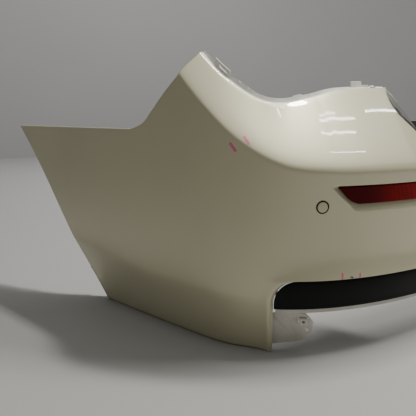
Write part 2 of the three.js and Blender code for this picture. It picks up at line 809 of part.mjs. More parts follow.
const sheet = skinSheet();
const gauge = sheet.thicken(GAP, SKIN + GAP);
let skin = sheet.thicken(0, SKIN);
for (const side of [-1, 1]) {
  const recess = reflectorRecess(side);
  const tabs = lampTabs(side);
  skin = skin.add(recess.block);
  tabs.add.forEach((tab) => {
    skin = skin.add(tab);
  });
  [recess.mouth, recess.pocket, ...tabs.cut].forEach((cut) => {
    skin = skin.subtract(cut);
  });
}
SENSOR_GIRTHS.forEach((girth) => {
  skin = skin.subtract(sensorHole(girth));
});
skin = skin.subtract(towSlab(TOW.gap, -6, 12));

addPart('bumper_skin', skin, PAINT);
for (const [side, name] of [[-1, 'left'], [1, 'right']]) {
  addPart(`reflector_housing_${name}`, reflectorHousing(side), BLACK);
  addPart(`reflector_lens_${name}`, reflectorLens(side), RED);
}
SENSOR_GIRTHS.forEach((girth, i) => {
  const place = ['outer_left', 'inner_left', 'inner_right', 'outer_right'][i];
  addPart(`parking_sensor_${place}`, sensorBody(girth), PAINT);
  addPart(`sensor_ring_${place}`, sensorRing(girth), RUBBER);
  addPart(`sensor_holder_${place}`, sensorHolder(girth, gauge), BLACK);
});
addPart('lower_trim_strip', trimStrip(), BLACK);
addPart('trim_carrier', trimCarrier(), GREY);
for (const [side, name] of [[-1, 'left'], [1, 'right']]) {
  addPart(`end_bracket_${name}`, fitBehind(endBracket(side), gauge), GREY);
  addPart(`clip_nut_${name}`, clipNut(side), GREY);
  ARCH_CLIP_HEIGHTS.forEach((z, i) => {
    addPart(`arch_nut_${name}_${i + 1}`, archClip(side, z, gauge), STEEL);
  });
}
addPart('tow_eye_cover', towCover(), PAINT);
addPart('tow_cover_frame', towFrame(gauge), BLACK);

// The skin is laid out from its rearmost line; the origin is the middle of the footprint.
const extent = new THREE.Box3().setFromObject(model);
model.position.y = -(extent.min.y + extent.max.y) / 2;

export default model;
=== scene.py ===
"""Looks of a rear bumper cover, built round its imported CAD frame.

The painted skin, reflectors, parking sensors, lower trim and end brackets are modelled
finely over the plain CAD solids, and each one takes a procedural finish.
"""
import logging
import math
from collections.abc import Callable, Iterable, Sequence
from dataclasses import dataclass
from enum import Enum

import bpy
import numpy as np
from mathutils import Matrix, Vector


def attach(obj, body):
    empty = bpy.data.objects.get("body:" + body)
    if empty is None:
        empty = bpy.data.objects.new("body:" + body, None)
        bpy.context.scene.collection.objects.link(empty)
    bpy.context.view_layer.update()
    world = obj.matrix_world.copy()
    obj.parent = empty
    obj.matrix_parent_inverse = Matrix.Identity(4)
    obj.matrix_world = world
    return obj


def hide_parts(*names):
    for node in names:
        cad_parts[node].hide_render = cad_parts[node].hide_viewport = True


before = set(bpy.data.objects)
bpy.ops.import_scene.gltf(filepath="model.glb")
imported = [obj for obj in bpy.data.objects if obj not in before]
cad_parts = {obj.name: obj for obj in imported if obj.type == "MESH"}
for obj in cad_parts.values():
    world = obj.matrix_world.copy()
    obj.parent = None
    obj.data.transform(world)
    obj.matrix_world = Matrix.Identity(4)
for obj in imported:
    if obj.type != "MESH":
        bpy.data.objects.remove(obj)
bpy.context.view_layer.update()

log = logging.getLogger("bumper_cover")

COVER = "cover"
TOW_CAP = "tow_cap"
MM = 0.001
REAR_Y = -0.4965446
PAINT_INDEX, BARE_INDEX, FLANGE_INDEX = 0, 1, 2
CUT_AHEAD = -0.010

Array = np.ndarray
Place = Callable[[Array, Array], Array]
Colour = tuple[float, float, float]
Pair = tuple[float, float]
Piece = bpy.types.Object
Material = bpy.types.Material
Socket = bpy.types.NodeSocket
Tree = bpy.types.ShaderNodeTree

WARM: Colour = (1.0, 0.985, 0.95)


# ---- Sizes and the skin's surface ----------------------------------------------------


@dataclass(frozen=True)
class SkinShape:
    """Driving dimensions of the skin, in metres, the same as the CAD model's."""

    half_width: float = 0.925
    corner_depth: float = 0.390
    corner_power: float = 3.0
    side_taper: float = 0.035
    taper_reach: float = 0.900
    side_end: float = 1.100
    wall: float = 0.003

    lip_z: float = 0.145
    lip_reach: float = 0.020
    bar_hollow: float = 0.016
    open_girth: float = 0.901
    leg_flare: float = 0.0034
    leg_flare_start: float = 0.013
    leg_flare_reach: float = 0.005
    leg_flare_fade: float = 0.080
    open_radius: float = 0.042

    crease_z: float = 0.336
    shoulder_lean: float = 1.0
    shoulder_round: float = 0.012
    bar_end: float = 0.780
    flank_start: float = 0.960

    flank_tuck: float = 0.035
    flank_ease: float = 0.005
    flank_ease_top: float = 0.240
    lower_crease_z: float = 0.108
    lower_crease_rise: float = 0.034
    lower_crease_soft: float = 0.004

    kink_girth: float = 1.100
    kink_z: float = 0.506
    peak_girth: float = 1.087
    peak_z: float = 0.549
    side_top_z: float = 0.407
    ramp_end: float = 1.240
    top_end_girth: float = 1.720
    arch_foot: float = 1.395
    arch_slope: float = 0.5
    arch_bow: float = 0.75

    boot_girth: float = 0.540
    boot_z: float = 0.490
    sill_z: float = 0.382
    sill_level: float = 0.6
    sill_girth: float = 0.500
    sill_end_z: float = 0.394

    @property
    def open_start(self) -> float:
        """Girth where the lip starts to turn down into the leg."""
        return self.open_girth - self.open_radius


def smooth(t: Array) -> Array:
    """Ease from 0 to 1 with level ends."""
    c = np.clip(t, 0, 1)
    return c * c * (3 - 2 * c)


def mix(a: Array | float, b: Array | float, t: Array | float) -> Array:
    """Straight blend from a to b."""
    return a + (b - a) * t


class CurveThrough:
    """A smooth curve through a few points, giving the second value for the first."""

    def __init__(self, points: Sequence[Pair]) -> None:
        """Samples the curve.

        Args:
            points: Pairs in millimetres, in order of the first value.
        """
        p = np.array(points, float) * MM
        padded = np.vstack([p[:1], p, p[-1:]])
        t = np.linspace(0, 1, 40, endpoint=False)[:, None]
        runs = []
        for i in range(len(p) - 1):
            p0, p1, p2, p3 = padded[i : i + 4]
            v0, v1 = (p2 - p0) / 2, (p3 - p1) / 2
            cubic = (2 * p1 - 2 * p2 + v0 + v1) * t**3
            square = (3 * p2 - 3 * p1 - 2 * v0 - v1) * t**2
            runs.append(cubic + square + v0 * t + p1)
        samples = np.vstack([*runs, p[-1:]])
        self.first = samples[:, 0]
        self.second = samples[:, 1]

    def __call__(self, a: Array) -> Array:
        """Second value at the given first values."""
        return np.interp(a, self.first, self.second)


class Surface:
    """The skin as a surface: a point for each girth along the plan and height."""

    def __init__(self, shape: SkinShape, rear_y: float) -> None:
        """Lays out the plan outline.

        Args:
            shape: Driving dimensions.
            rear_y: Y of the rearmost line of the skin in the frame.
        """
        self.shape = shape
        self.rear_y = rear_y
        t = np.linspace(0, math.pi / 2, 3001)
        power = 2 / shape.corner_power
        y = shape.corner_depth * (1 - np.clip(np.cos(t), 0, None) ** power)
        x = np.sin(t) ** power * self._side_x(y)
        ahead = np.arange(shape.corner_depth + 0.002, shape.side_end, 0.002)
        self.x = np.concatenate([x, self._side_x(ahead)])
        self.y = np.concatenate([y, ahead])
        steps = np.hypot(np.diff(self.x), np.diff(self.y))
        self.girth = np.concatenate([[0], np.cumsum(steps)])
        tx, ty = np.gradient(self.x, self.girth), np.gradient(self.y, self.girth)
        length = np.hypot(tx, ty)
        self.nx, self.ny = ty / length, -tx / length
        self.crease_rise = CurveThrough([(780, 0), (880, 10), (962, 50), (1033, 107), (1100, 170)])
        self.flank_ramp = CurveThrough(
            [(1100, 506), (1130, 479), (1168, 444), (1200, 419), (1240, 407)]
        )
        self.lamp_cut = CurveThrough(
            [(540, 490), (700, 483), (800, 467), (890, 457), (960, 466), (1030, 503), (1087, 549)]
        )

    def _side_x(self, y: Array) -> Array:
        """Half width of the cover at a distance from the rear."""
        back = np.clip(1 - y / self.shape.taper_reach, 0, 1)
        return self.shape.half_width * (1 - self.shape.side_taper * back * back)

    def normal(self, girth: Array) -> Array:
        """Outward horizontal direction at signed girths."""
        s, side = np.abs(girth), np.where(girth < 0, -1.0, 1.0)
        nx, ny = np.interp(s, self.girth, self.nx), np.interp(s, self.girth, self.ny)
        length = np.hypot(nx, ny)
        return np.stack([side * nx / length, ny / length, np.zeros_like(s)], axis=-1)

    def inset_point(self, girth: Array, z: Array, inset: Array | float) -> Array:
        """Points at a distance inside the plan outline."""
        girth, z = np.broadcast_arrays(np.asarray(girth, float), np.asarray(z, float))
        s, side = np.abs(girth), np.where(girth < 0, -1.0, 1.0)
        x, y = np.interp(s, self.girth, self.x), np.interp(s, self.girth, self.y)
        base = np.stack([side * x, y + self.rear_y, z], axis=-1)
        return base - self.normal(girth) * np.asarray(inset, float)[..., None]

    def crease_z(self, s: Array) -> Array:
        """Height of the shoulder crease."""
        return self.shape.crease_z + np.where(s > self.shape.bar_end, self.crease_rise(s), 0)

    def lower_crease_z(self, s: Array) -> Array:
        """Height of the flank's lower crease, which rises towards the wheel arch."""
        return self.shape.lower_crease_z + self.shape.lower_crease_rise * smooth((s - 1.18) / 0.28)

    def arch_girth(self, z: Array) -> Array:
        """Girth of the wheel-arch edge at a height."""
        return self.shape.arch_foot + self.shape.arch_slope * z + self.shape.arch_bow * z * z

    def open_edge(self, z: Array) -> Array:
        """Girth of the leg's edge at the open middle, rounded at its top."""
        shape = self.shape
        up = np.clip(z - (shape.lip_z - shape.open_radius), 0, shape.open_radius)
        return shape.open_start + np.sqrt(shape.open_radius**2 - up * up)

    def _bar_hollow(self, s: Array, z: Array) -> Array:
        """Depth of the hollow between the lip and the shoulder crease."""
        h = np.clip(z - self.shape.lip_z, 0, None)
        t = np.clip(h / (self.crease_z(s) - self.shape.lip_z), 0, 1)
        return self.shape.bar_hollow * (1 - np.exp(-h / self.shape.lip_reach)) * (1 - t * t)

    def _flank_tuck(self, s: Array, z: Array) -> Array:
        """How far the flank tucks in towards its foot, bending softly at the lower crease."""
        shape = self.shape
        crease = self.lower_crease_z(s)
        soft = shape.lower_crease_soft
        below = soft * np.logaddexp(0, (crease - z) / soft)
        ease = np.clip((shape.flank_ease_top - z) / (shape.flank_ease_top - crease), 0, 1)
        return shape.flank_ease * ease * ease + shape.flank_tuck * below / crease

    def _leg_flare(self, s: Array, z: Array) -> Array:
        """Shallow hollow beside the opening, which makes the leg's edge stand proud."""
        shape = self.shape
        across = np.clip(s - shape.open_start, 0, None)
        up = np.clip(z - (shape.lip_z - shape.open_radius), 0, None)
        away = np.clip(np.hypot(across, up) - shape.open_radius - shape.leg_flare_start, 0, None)
        fade = 1 - smooth((away - 0.02) / shape.leg_flare_fade)
        below = smooth((shape.lip_z + 0.02 - z) / 0.06)
        return shape.leg_flare * (1 - np.exp(-away / shape.leg_flare_reach)) * fade * below

    def hollow(self, girth: Array, z: Array) -> Array:
        """How far the skin lies inside the plan outline."""
        shape = self.shape
        s = np.abs(girth)
        rise = z - self.crease_z(np.minimum(s, shape.kink_girth))
        up = np.clip(rise, 0, None)
        shoulder = shape.shoulder_lean * up * up / (up + shape.shoulder_round)
        to_flank = smooth((s - shape.bar_end) / (shape.flank_start - shape.bar_end))
        lower = mix(self._bar_hollow(s, z), self._flank_tuck(s, z), to_flank)
        lower += self._leg_flare(s, z)
        return np.where((rise > 0) & (s <= shape.kink_girth + 1e-6), shoulder, lower)

    def point(self, girth: Array, z: Array, inside: Array | float = 0.0) -> Array:
        """Points on the skin, or a distance inside it."""
        girth, z = np.broadcast_arrays(np.asarray(girth, float), np.asarray(z, float))
        return self.inset_point(girth, z, self.hollow(girth, z) + inside)

    def seat(self, girth: float, z: float, inside: float = 0.0) -> Matrix:
        """Frame on the skin whose Z points outwards and whose Y points up."""
        out = Vector(self.normal(np.array(girth)))
        up = Vector((0, 0, 1))
        across = up.cross(out)
        seat = Matrix((across, up, out)).transposed().to_4x4()
        seat.translation = Vector(self.point(np.array(girth), np.array(z), inside))
        return seat


# ---- Modelling helpers ---------------------------------------------------------------


def deselect() -> None:
    """Leaves nothing selected, in object mode."""
    if bpy.context.object and bpy.context.object.mode != "OBJECT":
        bpy.ops.object.mode_set(mode="OBJECT")
    bpy.ops.object.select_all(action="DESELECT")


def make_active(obj: Piece) -> None:
    """Selects one object alone and makes it active."""
    deselect()
    obj.select_set(True)
    bpy.context.view_layer.objects.active = obj


def edit(obj: Piece, select: bool = True) -> None:
    """Enters edit mode on one object with all or nothing of it selected."""
    make_active(obj)
    bpy.ops.object.mode_set(mode="EDIT")
    bpy.ops.mesh.select_all(action="SELECT" if select else "DESELECT")


def leave_edit() -> None:
    """Goes back to object mode."""
    bpy.ops.object.mode_set(mode="OBJECT")


def selected_vertices(obj: Piece) -> Array:
    """Which vertices of a mesh are selected."""
    selected = np.empty(len(obj.data.vertices), bool)
    obj.data.vertices.foreach_get("select", selected)
    return selected


def select_free_edges() -> None:
    """Selects the open edges of the mesh in edit mode, and no others."""
    bpy.ops.mesh.select_non_manifold(
        use_wire=False, use_multi_face=False, use_non_contiguous=False, use_verts=False
    )


def face_outwards(obj: Piece) -> None:
    """Turns every face of a closed mesh outwards."""
    edit(obj)
    bpy.ops.mesh.normals_make_consistent(inside=False)
    leave_edit()


def coordinates(obj: Piece) -> Array:
    """All vertex positions of a mesh."""
    co = np.empty(len(obj.data.vertices) * 3)
    obj.data.vertices.foreach_get("co", co)
    return co.reshape(-1, 3)


def set_coordinates(obj: Piece, co: Array) -> None:
    """Moves all vertices of a mesh."""
    obj.data.vertices.foreach_set("co", np.asarray(co, float).ravel())
    obj.data.update()


def read_floats(obj: Piece, name: str) -> Array:
    """Values of a float attribute on the vertices."""
    values = np.empty(len(obj.data.vertices))
    obj.data.attributes[name].data.foreach_get("value", values)
    return values


def write_floats(obj: Piece, name: str, values: Array) -> None:
    """Stores a float attribute on the vertices."""
    attribute = obj.data.attributes.get(name) or obj.data.attributes.new(name, "FLOAT", "POINT")
    attribute.data.foreach_set("value", np.asarray(values, np.float32))


def drop_floats(obj: Piece, *names: str) -> None:
    """Removes helper attributes from a finished mesh."""
    for name in names:
        if name in obj.data.attributes:
            obj.data.attributes.remove(obj.data.attributes[name])


def add_grid(name: str, columns: int, rows: int) -> Piece:
    """A flat grid whose vertices know their column and row as attributes u and v."""
    deselect()
    bpy.ops.mesh.primitive_grid_add(x_subdivisions=columns, y_subdivisions=rows, size=1)
    grid = bpy.context.object
    grid.name = grid.data.name = name
    co = coordinates(grid)
    write_floats(grid, "u", np.round((co[:, 0] + 0.5) * columns) / columns)
    write_floats(grid, "v", np.round((co[:, 1] + 0.5) * rows) / rows)
    return grid


def mapped_solid(name: str, columns: int, rows: int, levels: Sequence[Place]) -> Piece:
    """A closed solid of grid layers, each one extruded from the last.

    Args:
        name: Name of the piece.
        columns: Faces across.
        rows: Faces up.
        levels: For each layer, a function from u and v to points.

    Returns:
        The solid, with its faces pointing out.
    """
    solid = add_grid(name, columns, rows)
    set_coordinates(solid, levels[0](read_floats(solid, "u"), read_floats(solid, "v")))
    for level in levels[1:]:
        make_active(solid)
        bpy.ops.object.mode_set(mode="EDIT")
        bpy.ops.mesh.extrude_region()
        leave_edit()
        moved = selected_vertices(solid)
        co = coordinates(solid)
        co[moved] = level(read_floats(solid, "u"), read_floats(solid, "v"))[moved]
        set_coordinates(solid, co)
    face_outwards(solid)
    drop_floats(solid, "u", "v")
    return solid


def turned(name: str, profile: Sequence[Pair], seat: Matrix, steps: int = 64) -> Piece:
    """A turned piece.

    Args:
        name: Name of the piece.
        profile: Radius and height pairs, in metres.
        seat: Frame whose Z is the axis.
        steps: Faces round the axis.

    Returns:
        The closed piece in place.
    """
    mesh = bpy.data.meshes.new(name)
    points = [(r, 0.0, h) for r, h in profile]
    closed = profile[0][0] > 0 and profile[-1][0] > 0
    edges = [(i, i + 1) for i in range(len(points) - 1)]
    if closed:
        edges.append((len(points) - 1, 0))
    mesh.from_pydata(points, edges, [])
    obj = bpy.data.objects.new(name, mesh)
    bpy.context.scene.collection.objects.link(obj)
    edit(obj)
    bpy.ops.mesh.spin(steps=steps, angle=2 * math.pi, center=(0, 0, 0), axis=(0, 0, 1))
    bpy.ops.mesh.select_all(action="SELECT")
    bpy.ops.mesh.remove_doubles(threshold=2e-6)
    bpy.ops.mesh.normals_make_consistent(inside=False)
    leave_edit()
    obj.data.transform(seat)
    return obj


def block(
    name: str, size: Sequence[float], seat: Matrix, centre: Sequence[float] = (0, 0, 0)
) -> Piece:
    """A box of a size, centred at a point of a frame, with its place in its mesh."""
    deselect()
    bpy.ops.mesh.primitive_cube_add(size=1)
    obj = bpy.context.object
    obj.name = obj.data.name = name
    obj.data.transform(seat @ Matrix.Translation(centre) @ Matrix.Diagonal((*size, 1)))
    return obj


def apply_modifier(obj: Piece, kind: str, **settings: object) -> None:
    """Adds a modifier with settings and applies it."""
    make_active(obj)
    modifier = obj.modifiers.new(kind.title(), kind)
    for key, value in settings.items():
        setattr(modifier, key, value)
    bpy.ops.object.modifier_apply(modifier=modifier.name)


def carve(obj: Piece, tool: Piece, operation: str = "DIFFERENCE") -> None:
    """Joins, cuts or intersects a piece with a tool, which is then removed."""
    apply_modifier(obj, "BOOLEAN", operation=operation, solver="MANIFOLD", object=tool)
    bpy.data.objects.remove(tool)


def shade(obj: Piece, degrees: float = 35.0) -> None:
    """Smooth shading, with edges sharper than the angle kept sharp."""
    make_active(obj)
    bpy.ops.object.shade_smooth_by_angle(angle=math.radians(degrees))


def soften(obj: Piece, width: float, segments: int = 2, degrees: float = 30.0) -> None:
    """Rounds the sharp edges of a piece."""
    apply_modifier(
        obj, "BEVEL", width=width, segments=segments, limit_method="ANGLE",
        angle_limit=math.radians(degrees), use_clamp_overlap=True, miter_outer="MITER_ARC",
    )


def copy_of_node(node: str, name: str) -> Piece:
    """A merged copy of a CAD node, to be refined as a new piece."""
    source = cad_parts[node]
    obj = bpy.data.objects.new(name, source.data.copy())
    obj.data.materials.clear()
    bpy.context.scene.collection.objects.link(obj)
    edit(obj)
    bpy.ops.mesh.remove_doubles(threshold=2e-5)
    bpy.ops.mesh.dissolve_limited(angle_limit=math.radians(1.0))
    leave_edit()
    return obj


def put(
    obj: Piece, material: Material, nodes: Iterable[str], body: str = COVER
) -> None:
    """Dresses a finished piece, seats it on its body and lets it stand for CAD nodes.

    Args:
        obj: The piece.
        material: Its finish, unless it already has its own.
        nodes: CAD nodes that it replaces.
        body: CAD body that it rides on.
    """
    if all(own is None for own in obj.data.materials):
        obj.data.materials.clear()
        obj.data.materials.append(material)
    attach(obj, body)
    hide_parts(*nodes)
    log.info("%s: %d faces", obj.name, len(obj.data.polygons))


# ---- Finishes ------------------------------------------------------------------------


class NodeBench:
    """Short ways to place and link shader nodes in one tree."""

    def __init__(self, tree: bpy.types.NodeTree) -> None:
        """Works in a tree."""
        self.tree = tree

    def add(self, kind: str, **values: object) -> bpy.types.Node:
        """Adds a node, and sets its attributes or links its inputs.

        Args:
            kind: Node type.
            values: Attributes of the node, or names of input sockets with _ for spaces.

        Returns:
            The node.
        """
        node = self.tree.nodes.new(kind)
        for key, value in values.items():
            if hasattr(node, key):
                setattr(node, key, value)
            else:
                self.feed(node.inputs[key.replace("_", " ")], value)
        return node

    def feed(self, socket: Socket, value: object) -> None:
        """Links a socket to another one, or sets its value."""
        if isinstance(value, Socket):
            self.tree.links.new(value, socket)
        else:
            socket.default_value = value

    def math(self, operation: str, a: object, b: object = 0.0, clamp: bool = False) -> Socket:
        """A math node's result."""
        node = self.add("ShaderNodeMath", operation=operation, use_clamp=clamp)
        self.feed(node.inputs[0], a)
        self.feed(node.inputs[1], b)
        return node.outputs[0]

    def blend(self, factor: object, a: object, b: object) -> Socket:
        """A colour mixed between two others."""
        node = self.add("ShaderNodeMix", data_type="RGBA")
        for index, value in ((0, factor), (6, a), (7, b)):
            self.feed(node.inputs[index], (*value, 1.0) if isinstance(value, tuple) else value)
        return node.outputs[2]

    def span(
        self, value: object, low: float, high: float, to_low: float = 0.0, to_high: float = 1.0
    ) -> Socket:
        """A value mapped smoothly from one range to another."""
        node = self.add("ShaderNodeMapRange", interpolation_type="SMOOTHSTEP")
        for index, number in enumerate((value, low, high, to_low, to_high)):
            self.feed(node.inputs[index], number)
        return node.outputs[0]

    def noise(self, where: object, scale: object, detail: float = 2.0) -> Socket:
        """A noise value."""
        node = self.add("ShaderNodeTexNoise", Vector=where, Scale=scale, Detail=detail)
        return node.outputs["Fac"]

    def group(self, tree: Tree, where: object, **values: float) -> bpy.types.Node:
        """A group node at a place, with values for its inputs."""
        return self.add("ShaderNodeGroup", node_tree=tree, Place=where, **values)

    def bump(self, shader: bpy.types.Node, height: Socket, strength: float, depth: float) -> None:
        """Gives a shader a bump from a height."""
        node = self.add("ShaderNodeBump", Strength=strength, Distance=depth, Height=height)
        self.feed(shader.inputs["Normal"], node.outputs["Normal"])


def new_group(name: str, inputs: dict[str, float], outputs: Sequence[str]) -> Tree:
    """A shader node group with float inputs and outputs, and a vector input for its place."""
    group = bpy.data.node_groups.new(name, "ShaderNodeTree")
    group.interface.new_socket("Place", in_out="INPUT", socket_type="NodeSocketVector")
    for key, value in inputs.items():
        socket = group.interface.new_socket(key, in_out="INPUT", socket_type="NodeSocketFloat")
        socket.default_value = value
    for key in outputs:
        group.interface.new_socket(key, in_out="OUTPUT", socket_type="NodeSocketFloat")
    return group


class SharedEffects:
    """Node groups that more than one finish uses."""

    def __init__(self) -> None:
        """Builds the groups once."""
        self.grain = self._grain()
        self.dust = self._dust()

    def _grain(self) -> Tree:
        """Fine moulded or sprayed texture, as a height, with broad unevenness beside it."""
        group = new_group("fine_grain", {"Scale": 900.0, "Broad": 25.0}, ("Height", "Unevenness"))
        bench = NodeBench(group)
        source = group.nodes.new("NodeGroupInput")
        sink = group.nodes.new("NodeGroupOutput")
        place = source.outputs["Place"]
        for scale, detail, out in (("Scale", 3.0, "Height"), ("Broad", 4.0, "Unevenness")):
            bench.feed(sink.inputs[out], bench.noise(place, source.outputs[scale], detail))
        return group

    def _dust(self) -> Tree:
        """Dust that settles on faces that look up, in soft patches with a few specks."""
        group = new_group("settled_dust", {"Amount": 0.3, "Patches": 9.0}, ("Mask",))
        bench = NodeBench(group)
        source = group.nodes.new("NodeGroupInput")
        sink = group.nodes.new("NodeGroupOutput")
        place = source.outputs["Place"]
        normal = bench.add("ShaderNodeNewGeometry").outputs["Normal"]
        facing = bench.add("ShaderNodeSeparateXYZ", Vector=normal)
        up = bench.span(facing.outputs["Z"], 0.1, 0.95)
        soft = bench.span(bench.noise(place, source.outputs["Patches"], 5.0), 0.35, 0.75)
        specks = bench.span(bench.noise(place, 260.0, 1.0), 0.66, 0.72)
        soft, specks = bench.math("MULTIPLY", soft, up), bench.math("MULTIPLY", specks, 0.5)
        settled = bench.math("ADD", soft, specks)
        mask = bench.math("MULTIPLY", settled, source.outputs["Amount"], clamp=True)
        bench.feed(sink.inputs["Mask"], mask)
        return group


def new_material(name: str) -> tuple[Material, NodeBench, bpy.types.Node, Socket]:
    """An empty node material.

    Returns:
        The material, a bench on its tree, its Principled shader and object coordinates.
    """
    material = bpy.data.materials.new(name)
    material.use_nodes = True
    bench = NodeBench(material.node_tree)
    shader = material.node_tree.nodes["Principled BSDF"]
    where = bench.add("ShaderNodeTexCoord").outputs["Object"]
    return material, bench, shader, where


@dataclass(frozen=True)
class Plastic:
    """A moulded plastic, rubber or sprayed surface with grain and dust."""

    name: str
    colour: Colour
    roughness: float
    grain: float = 900.0
    relief: float = 0.05
    dust: float = 0.25
    dust_colour: Colour = (0.32, 0.31, 0.28)
    metallic: float = 0.0
    specular: float = 0.5

    def make(self, effects: SharedEffects) -> Material:
        """Builds the material."""
        material, bench, shader, where = new_material(self.name)
        grain = bench.group(effects.grain, where, Scale=self.grain)
        dust = bench.group(effects.dust, where, Amount=self.dust)
        unevenness, dusty = grain.outputs["Unevenness"], dust.outputs["Mask"]
        darker = tuple(c * 0.82 for c in self.colour)
        base = bench.blend(bench.span(unevenness, 0.3, 0.7), darker, self.colour)
        bench.feed(shader.inputs["Base Color"], bench.blend(dusty, base, self.dust_colour))
        smoother, rougher = self.roughness * 0.88, min(self.roughness * 1.12, 1.0)
        rough = bench.span(unevenness, 0.3, 0.7, smoother, rougher)
        rough = bench.math("ADD", rough, bench.math("MULTIPLY", dusty, 0.3), clamp=True)
        bench.feed(shader.inputs["Roughness"], rough)
        bench.bump(shader, grain.outputs["Height"], self.relief, 0.0006)
        shader.inputs["Metallic"].default_value = self.metallic
        shader.inputs["Specular IOR Level"].default_value = self.specular
        return material


@dataclass(frozen=True)
class Stroke:
    """A wax-pencil stroke on the paint, between two girth and height places."""

    start: Pair
    end: Pair
    width: float = 0.0022


@dataclass(frozen=True)
class BodyPaint:
    """Warm off-white pearl paint under clear coat, with repair marks on request."""

    name: str = "body_paint"
    colour: Colour = (0.67, 0.64, 0.44)
    shade: Colour = (0.62, 0.595, 0.41)
    pencil: Colour = (0.86, 0.10, 0.30)
    bare: Colour = (0.03, 0.03, 0.03)
    roughness: float = 0.42
    metallic: float = 0.4

    def make(
        self,
        effects: SharedEffects,
        surface: Surface,
        strokes: Sequence[Stroke] = (),
        chips: Sequence[Stroke] = (),
    ) -> Material:
        """Builds the paint.

        Args:
            effects: Shared node groups.
            surface: Skin that the marks lie on.
            strokes: Wax-pencil strokes.
            chips: Places where the paint is chipped through.

        Returns:
            The material.
        """
        material, bench, shader, where = new_material(self.name)
        grain = bench.group(effects.grain, where, Scale=420.0, Broad=3.0)
        dust = bench.group(effects.dust, where, Amount=0.05, Patches=5.0)
        flakes = bench.add("ShaderNodeTexVoronoi", Vector=where, Scale=2600.0)
        tint = bench.math("MULTIPLY", flakes.outputs["Distance"], 0.12)
        pearl = bench.span(grain.outputs["Unevenness"], 0.3, 0.7, 0.0, 0.9)
        pearl = bench.math("ADD", pearl, tint, clamp=True)
        base = bench.blend(pearl, self.shade, self.colour)
        base = bench.blend(dust.outputs["Mask"], base, (0.66, 0.64, 0.58))
        for stroke in strokes:
            base = bench.blend(self._mark(bench, where, surface, stroke, 0.95), base, self.pencil)
        for chip in chips:
            base = bench.blend(self._mark(bench, where, surface, chip, 1.0), base, self.bare)
        bench.feed(shader.inputs["Base Color"], base)
        bench.bump(shader, grain.outputs["Height"], 0.035, 0.0004)
        shader.inputs["Roughness"].default_value = self.roughness
        shader.inputs["Metallic"].default_value = self.metallic
        shader.inputs["Coat Weight"].default_value = 1.0
        shader.inputs["Coat Roughness"].default_value = 0.035
        shader.inputs["Coat IOR"].default_value = 1.5
        return material

    def _mark(
        self, bench: NodeBench, where: Socket, surface: Surface, stroke: Stroke, strength: float
    ) -> Socket:
        """Mask of one stroke: how near a place is to the stroke's line, with waxy gaps."""
        ends = (stroke.start, stroke.end)
        a, b = (Vector(surface.point(np.array(g), np.array(z))) for g, z in ends)
        along = b - a
        offset = bench.add("ShaderNodeVectorMath", operation="SUBTRACT")
        bench.feed(offset.inputs[0], where)
        bench.feed(offset.inputs[1], a)
        dot = bench.add("ShaderNodeVectorMath", operation="DOT_PRODUCT")
        bench.feed(dot.inputs[0], offset.outputs["Vector"])
        bench.feed(dot.inputs[1], along / along.length_squared)
        part = bench.math("ADD", dot.outputs["Value"], 0.0, clamp=True)
        nearest = bench.add("ShaderNodeVectorMath", operation="SCALE")
        bench.feed(nearest.inputs[0], along)
        bench.feed(nearest.inputs["Scale"], part)
        gap = bench.add("ShaderNodeVectorMath", operation="DISTANCE")
        bench.feed(gap.inputs[0], offset.outputs["Vector"])
        bench.feed(gap.inputs[1], nearest.outputs["Vector"])
        edge = bench.span(gap.outputs["Value"], stroke.width * 0.5, stroke.width, 1.0, 0.0)
        waxy = bench.span(bench.noise(where, 700.0, 1.0), 0.3, 0.55, 0.35, 1.0)
        return bench.math("MULTIPLY", bench.math("MULTIPLY", edge, waxy), strength)


@dataclass(frozen=True)
class ReflectorPlastic:
    """Red lens over a moulded prism field, with painted light: painted glints on the prism cells and
    painted shade towards the outer end.
    """

    name: str = "reflector_red"
    # The two lens reds are a shaded and a lit copy of one red; the mix between them is painted
    # light.
    deep: Colour = (0.075, 0.0, 0.0004)
    lit_red: Colour = (0.50, 0.0, 0.002)
    prism: float = 330.0
    # Painted shade: the lens darkens between these two distances from the middle, towards its outer
    # end.
    end_shade_from: float = 0.58
    end_shade_to: float = 0.72

    def make(self) -> Material:
        """Builds the material."""
        material, bench, shader, where = new_material(self.name)
        cells = bench.add("ShaderNodeTexVoronoi", Vector=where, Scale=self.prism, Randomness=0.15)
        broad = bench.noise(where, 14.0, 3.0)
        # Painted reflection: the prism cells are painted as brighter glints.
        painted_facet_glints = bench.span(cells.outputs["Distance"], 0.1, 0.6)
        apart = bench.math("ABSOLUTE", bench.add("ShaderNodeSeparateXYZ", Vector=where).outputs["X"])
        # Painted shade: the colour darkens towards the lens's outer end.
        ends = bench.span(apart, self.end_shade_from, self.end_shade_to, 1.0, 0.0)
        # Lens brightness: painted glints and painted end shade, with random broad tone.
        tone_and_painted_light = bench.math("MULTIPLY", painted_facet_glints, bench.span(broad, 0.3, 0.7, 0.5, 1.0))
        tone_and_painted_light = bench.math("MULTIPLY", tone_and_painted_light, ends)
        bench.feed(shader.inputs["Base Color"], bench.blend(tone_and_painted_light, self.deep, self.lit_red))
        bench.bump(shader, cells.outputs["Distance"], 0.05, 0.0004)
        shader.inputs["Roughness"].default_value = 0.3
        shader.inputs["Specular IOR Level"].default_value = 0.05
        shader.inputs["Coat Weight"].default_value = 0.06
        shader.inputs["Coat Roughness"].default_value = 0.03
        return material


class Side(Enum):
    """Left or right half of the cover, seen from behind the car."""

    LEFT = -1
    RIGHT = 1

    @property
    def label(self) -> str:
        """Side as used in node names."""
        return self.name.lower()


# ---- Skin ----------------------------------------------------------------------------


